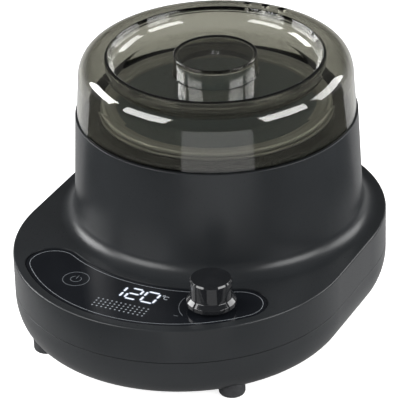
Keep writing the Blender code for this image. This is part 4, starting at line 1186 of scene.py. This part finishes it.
studio = {
    "floorSize": 8.0,  # m
    "floorDepth": 0.02,
    "floorPaint": "E6E6E6",
    # the floor as reflections see it outside its white parts: a dark sheet of painted shade
    "paintedShadeInReflections": "1A1A1A",
    "floorGlow": 0.82,
    "cameraAt": (0.5955, -1.1929, 0.7939),
    "cameraTurn": (61.173, 26.546, -1.710),  # degrees: pitch, yaw and roll
    "lens": 261.8,
    "softboxes": [  # azimuth and elevation in degrees, distance, width, height (m), power (W)
        (-34, 22, 1.3, 0.90, 0.58, 13),
        (-84, 20, 1.3, 0.76, 0.50, 13),
        (83, 22, 1.3, 0.90, 0.58, 13),
        (135, 20, 1.3, 0.86, 0.55, 9),
    ],
    "ambient": 0.4,
    "viewAzimuth": 26.1,  # degrees from the front toward +X
    "behindFrom": 117,  # degrees either side of the view from which the floor behind is white
    "behind": 0.35,  # how white reflections find it there
    "edgeSoftness": 0.6,  # degrees
    # white parts of the floor, which only reflections see: painted reflections, the sheet for the pale
    # patch on the lid's front, the strip for the one on the knob and the apron for the sheen low on the
    # case;
    # reach from and to (m from the drum), level, and half width in degrees
    "sheet": (0.25, 1.0, 0.42, 26),
    "strip": (0.19, 0.25, 0.35, 13),
    "apron": (0.0, 0.17, 0.38, 180),
    "ringEdge": 0.005,
    "ringFade": 0.015,
    "apronShadedShare": 0.6,  # share of the apron's level right in front, lower there as painted shade of the case
    "apronTurns": (10, 60),  # degrees either side over which it comes up to the full level
    "horizon": 0.45,
    "ceiling": 0.06,
    "horizonHeights": (0.06, 0.30),  # where the horizon fades into the ceiling, as sines
    "backTurn": 0.2,  # how far past the side the horizon starts, as a sine
}


def ringPart(tree, reach, aside, near, far, level, width):
    # level inside a part of a ring on the floor, 0 outside it; the edges are a little soft
    edge, fade = studio["ringEdge"], studio["ringFade"]
    inner = addNode(tree, "ShaderNodeMapRange", {
        "From Min": near - edge, "From Max": near + edge, "To Min": 0.0, "To Max": level,
    }, Value=(reach, "Value"))
    outer = addNode(tree, "ShaderNodeMapRange", {
        "From Min": far - edge, "From Max": far + fade, "To Min": 1.0, "To Max": 0.0,
    }, Value=(reach, "Value"))
    soft = studio["edgeSoftness"] / 360
    span = addNode(tree, "ShaderNodeMapRange", {
        "From Min": width / 360 - soft, "From Max": width / 360 + soft, "To Min": 1.0, "To Max": 0.0,
    }, Value=(aside, "Value"))
    times = {"operation": "MULTIPLY"}
    part = addNode(tree, "ShaderNodeMath", times, i0=(inner, "Result"), i1=(outer, "Result"))
    return addNode(tree, "ShaderNodeMath", times, i0=(part, "Value"), i1=(span, "Result"))


def makeFloor():
    half = studio["floorSize"] / 2 / mm
    mesh = boxMesh("floor", (-half, -half, -studio["floorDepth"] / mm), (half, half, 0))
    item = bpy.data.objects.new("floor", mesh)
    bpy.context.scene.collection.objects.link(item)
    material = bpy.data.materials.new("paleFloor")
    material.use_nodes = True
    tree = material.node_tree
    tree.nodes.clear()
    times, larger = {"operation": "MULTIPLY"}, {"operation": "MAXIMUM"}
    place = addNode(tree, "ShaderNodeTexCoord")
    turned = addNode(tree, "ShaderNodeMapping", {
        "vector_type": "TEXTURE", "Location": (0.0, drumY * mm, 0.0),
        "Rotation": (0.0, 0.0, math.radians(studio["viewAzimuth"] - 90)),
    }, Vector=(place, "Object"))
    radial = {"gradient_type": "RADIAL"}
    around = addNode(tree, "ShaderNodeTexGradient", radial, Vector=(turned, "Vector"))
    reach = addNode(tree, "ShaderNodeVectorMath", {"operation": "LENGTH"}, i0=(turned, "Vector"))
    aside = addNode(tree, "ShaderNodeMath", {"operation": "SUBTRACT"}, i0=(around, "Fac"))
    aside.inputs[1].default_value = 0.5
    aside = addNode(tree, "ShaderNodeMath", {"operation": "ABSOLUTE"}, i0=(aside, "Value"))
    # painted shade: the apron is dimmer right in front of the case
    start, end = (turn / 360 for turn in studio["apronTurns"])
    middle = addNode(tree, "ShaderNodeMapRange", {
        "From Min": start, "From Max": end, "To Min": studio["apronShadedShare"], "To Max": 1.0,
    }, Value=(aside, "Value"))
    apron = ringPart(tree, reach, aside, *studio["apron"])
    lit = addNode(tree, "ShaderNodeMath", times, i0=(apron, "Value"), i1=(middle, "Result"))
    edge, soft = studio["behindFrom"] / 360, studio["edgeSoftness"] / 360
    behind = addNode(tree, "ShaderNodeMapRange", {
        "From Min": edge - soft, "From Max": edge + soft, "To Min": 0.0, "To Max": studio["behind"],
    }, Value=(aside, "Value"))
    lit = addNode(tree, "ShaderNodeMath", larger, i0=(lit, "Value"), i1=(behind, "Result"))
    # painted reflections: the sheet and the strip are white patches that only glossy rays see
    for name in ("sheet", "strip"):
        part = ringPart(tree, reach, aside, *studio[name])
        lit = addNode(tree, "ShaderNodeMath", larger, i0=(lit, "Value"), i1=(part, "Value"))
    path = addNode(tree, "ShaderNodeLightPath")
    # reflections see the floor dark, as painted shade, except where the parts above paint white
    # reflections on it
    glossy = addNode(tree, "ShaderNodeMath", times, i0=(lit, "Value"), i1=(path, "Is Glossy Ray"))
    seen = addNode(tree, "ShaderNodeMath", larger,
                   i0=(path, "Is Camera Ray"), i1=(path, "Is Transmission Ray"))
    seen = addNode(tree, "ShaderNodeMath", larger, i0=(seen, "Value"), i1=(glossy, "Value"))
    paint = addNode(tree, "ShaderNodeBsdfDiffuse", {"Color": hexColour(studio["floorPaint"])})
    dark = addNode(tree, "ShaderNodeBsdfDiffuse", {"Color": hexColour(studio["paintedShadeInReflections"])})
    glow = addNode(tree, "ShaderNodeEmission", {"Color": (1, 1, 1, 1), "Strength": studio["floorGlow"]})
    both = addNode(tree, "ShaderNodeAddShader", i0=(paint, "BSDF"), i1=(glow, "Emission"))
    other = addNode(tree, "ShaderNodeMixShader",
                    Fac=(path, "Is Glossy Ray"), i1=(paint, "BSDF"), i2=(dark, "BSDF"))
    mix = addNode(tree, "ShaderNodeMixShader",
                  Fac=(seen, "Value"), i1=(other, "Shader"), i2=(both, "Shader"))
    addNode(tree, "ShaderNodeOutputMaterial", Surface=(mix, "Shader"))
    mesh.materials.append(material)


def makeWorld():
    # white to the eye; reflections see a grey horizon behind, and near black above and in front
    world = bpy.data.worlds.new("studio")
    bpy.context.scene.world = world
    world.use_nodes = True
    tree = world.node_tree
    tree.nodes.clear()
    place = addNode(tree, "ShaderNodeTexCoord")
    split = addNode(tree, "ShaderNodeSeparateXYZ", Vector=(place, "Generated"))
    low, high = studio["horizonHeights"]
    fade = addNode(tree, "ShaderNodeMapRange", {
        "From Min": low, "From Max": high, "To Min": studio["horizon"], "To Max": studio["ceiling"],
    }, Value=(split, "Z"))
    path = addNode(tree, "ShaderNodeLightPath")
    white = addNode(tree, "ShaderNodeMath", {"operation": "MAXIMUM"},
                    i0=(path, "Is Camera Ray"), i1=(path, "Is Transmission Ray"))
    turn = math.radians(studio["viewAzimuth"])
    away = addNode(tree, "ShaderNodeVectorMath", {"operation": "DOT_PRODUCT"}, i0=(place, "Generated"))
    away.inputs[1].default_value = (-math.sin(turn), math.cos(turn), 0.0)
    back = addNode(tree, "ShaderNodeMapRange", {
        "From Min": 0.0, "From Max": studio["backTurn"], "To Min": studio["ceiling"], "To Max": 1.0,
    }, Value=(away, "Value"))
    dimmer = addNode(tree, "ShaderNodeMath", {"operation": "MINIMUM"},
                     i0=(fade, "Result"), i1=(back, "Result"))
    strength = addNode(tree, "ShaderNodeMix", {"data_type": "FLOAT", "B": 1.0},
                       Factor=(white, "Value"), A=(dimmer, "Value"))
    diffuse = addNode(tree, "ShaderNodeMix", {"data_type": "FLOAT", "B": studio["ambient"]},
                      Factor=(path, "Is Diffuse Ray"), A=(strength, "Result"))
    sky = addNode(tree, "ShaderNodeBackground", {"Color": (1, 1, 1, 1)}, Strength=(diffuse, "Result"))
    addNode(tree, "ShaderNodeOutputWorld", Surface=(sky, "Background"))


def aimed(item, target):
    item.rotation_euler = (target - item.location).to_track_quat("-Z", "Y").to_euler()


def addLamp(name, at, target, width, height, power):
    data = bpy.data.lights.new(name, "AREA")
    data.shape = "RECTANGLE"
    data.size = width
    data.size_y = height
    data.energy = power
    item = bpy.data.objects.new(name, data)
    bpy.context.scene.collection.objects.link(item)
    item.location = at
    item.visible_camera = False
    aimed(item, target)
    return item


def makeLights():
    middle = Vector((0, drumY * mm, 0.12))
    for i, (azimuth, elevation, distance, width, height, power) in enumerate(studio["softboxes"]):
        a, e = math.radians(azimuth), math.radians(elevation)
        way = Vector((math.sin(a) * math.cos(e), -math.cos(a) * math.cos(e), math.sin(e)))
        addLamp(f"softbox{i + 1}", middle + way * distance, middle, width, height, power)


def makeCamera():
    data = bpy.data.cameras.new("camera")
    data.lens = studio["lens"]
    data.sensor_width = 36
    data.clip_start = 0.1
    data.clip_end = 50
    item = bpy.data.objects.new("camera", data)
    bpy.context.scene.collection.objects.link(item)
    pitch, yaw, roll = (math.radians(v) for v in studio["cameraTurn"])
    turn = Matrix.Rotation(yaw, 4, "Z") @ Matrix.Rotation(pitch, 4, "X") @ Matrix.Rotation(roll, 4, "Z")
    item.matrix_world = Matrix.Translation(studio["cameraAt"]) @ turn
    bpy.context.scene.camera = item


makeFloor()
makeWorld()
makeLights()
makeCamera()
bpy.context.scene.view_settings.view_transform = "Standard"
print("studio set")
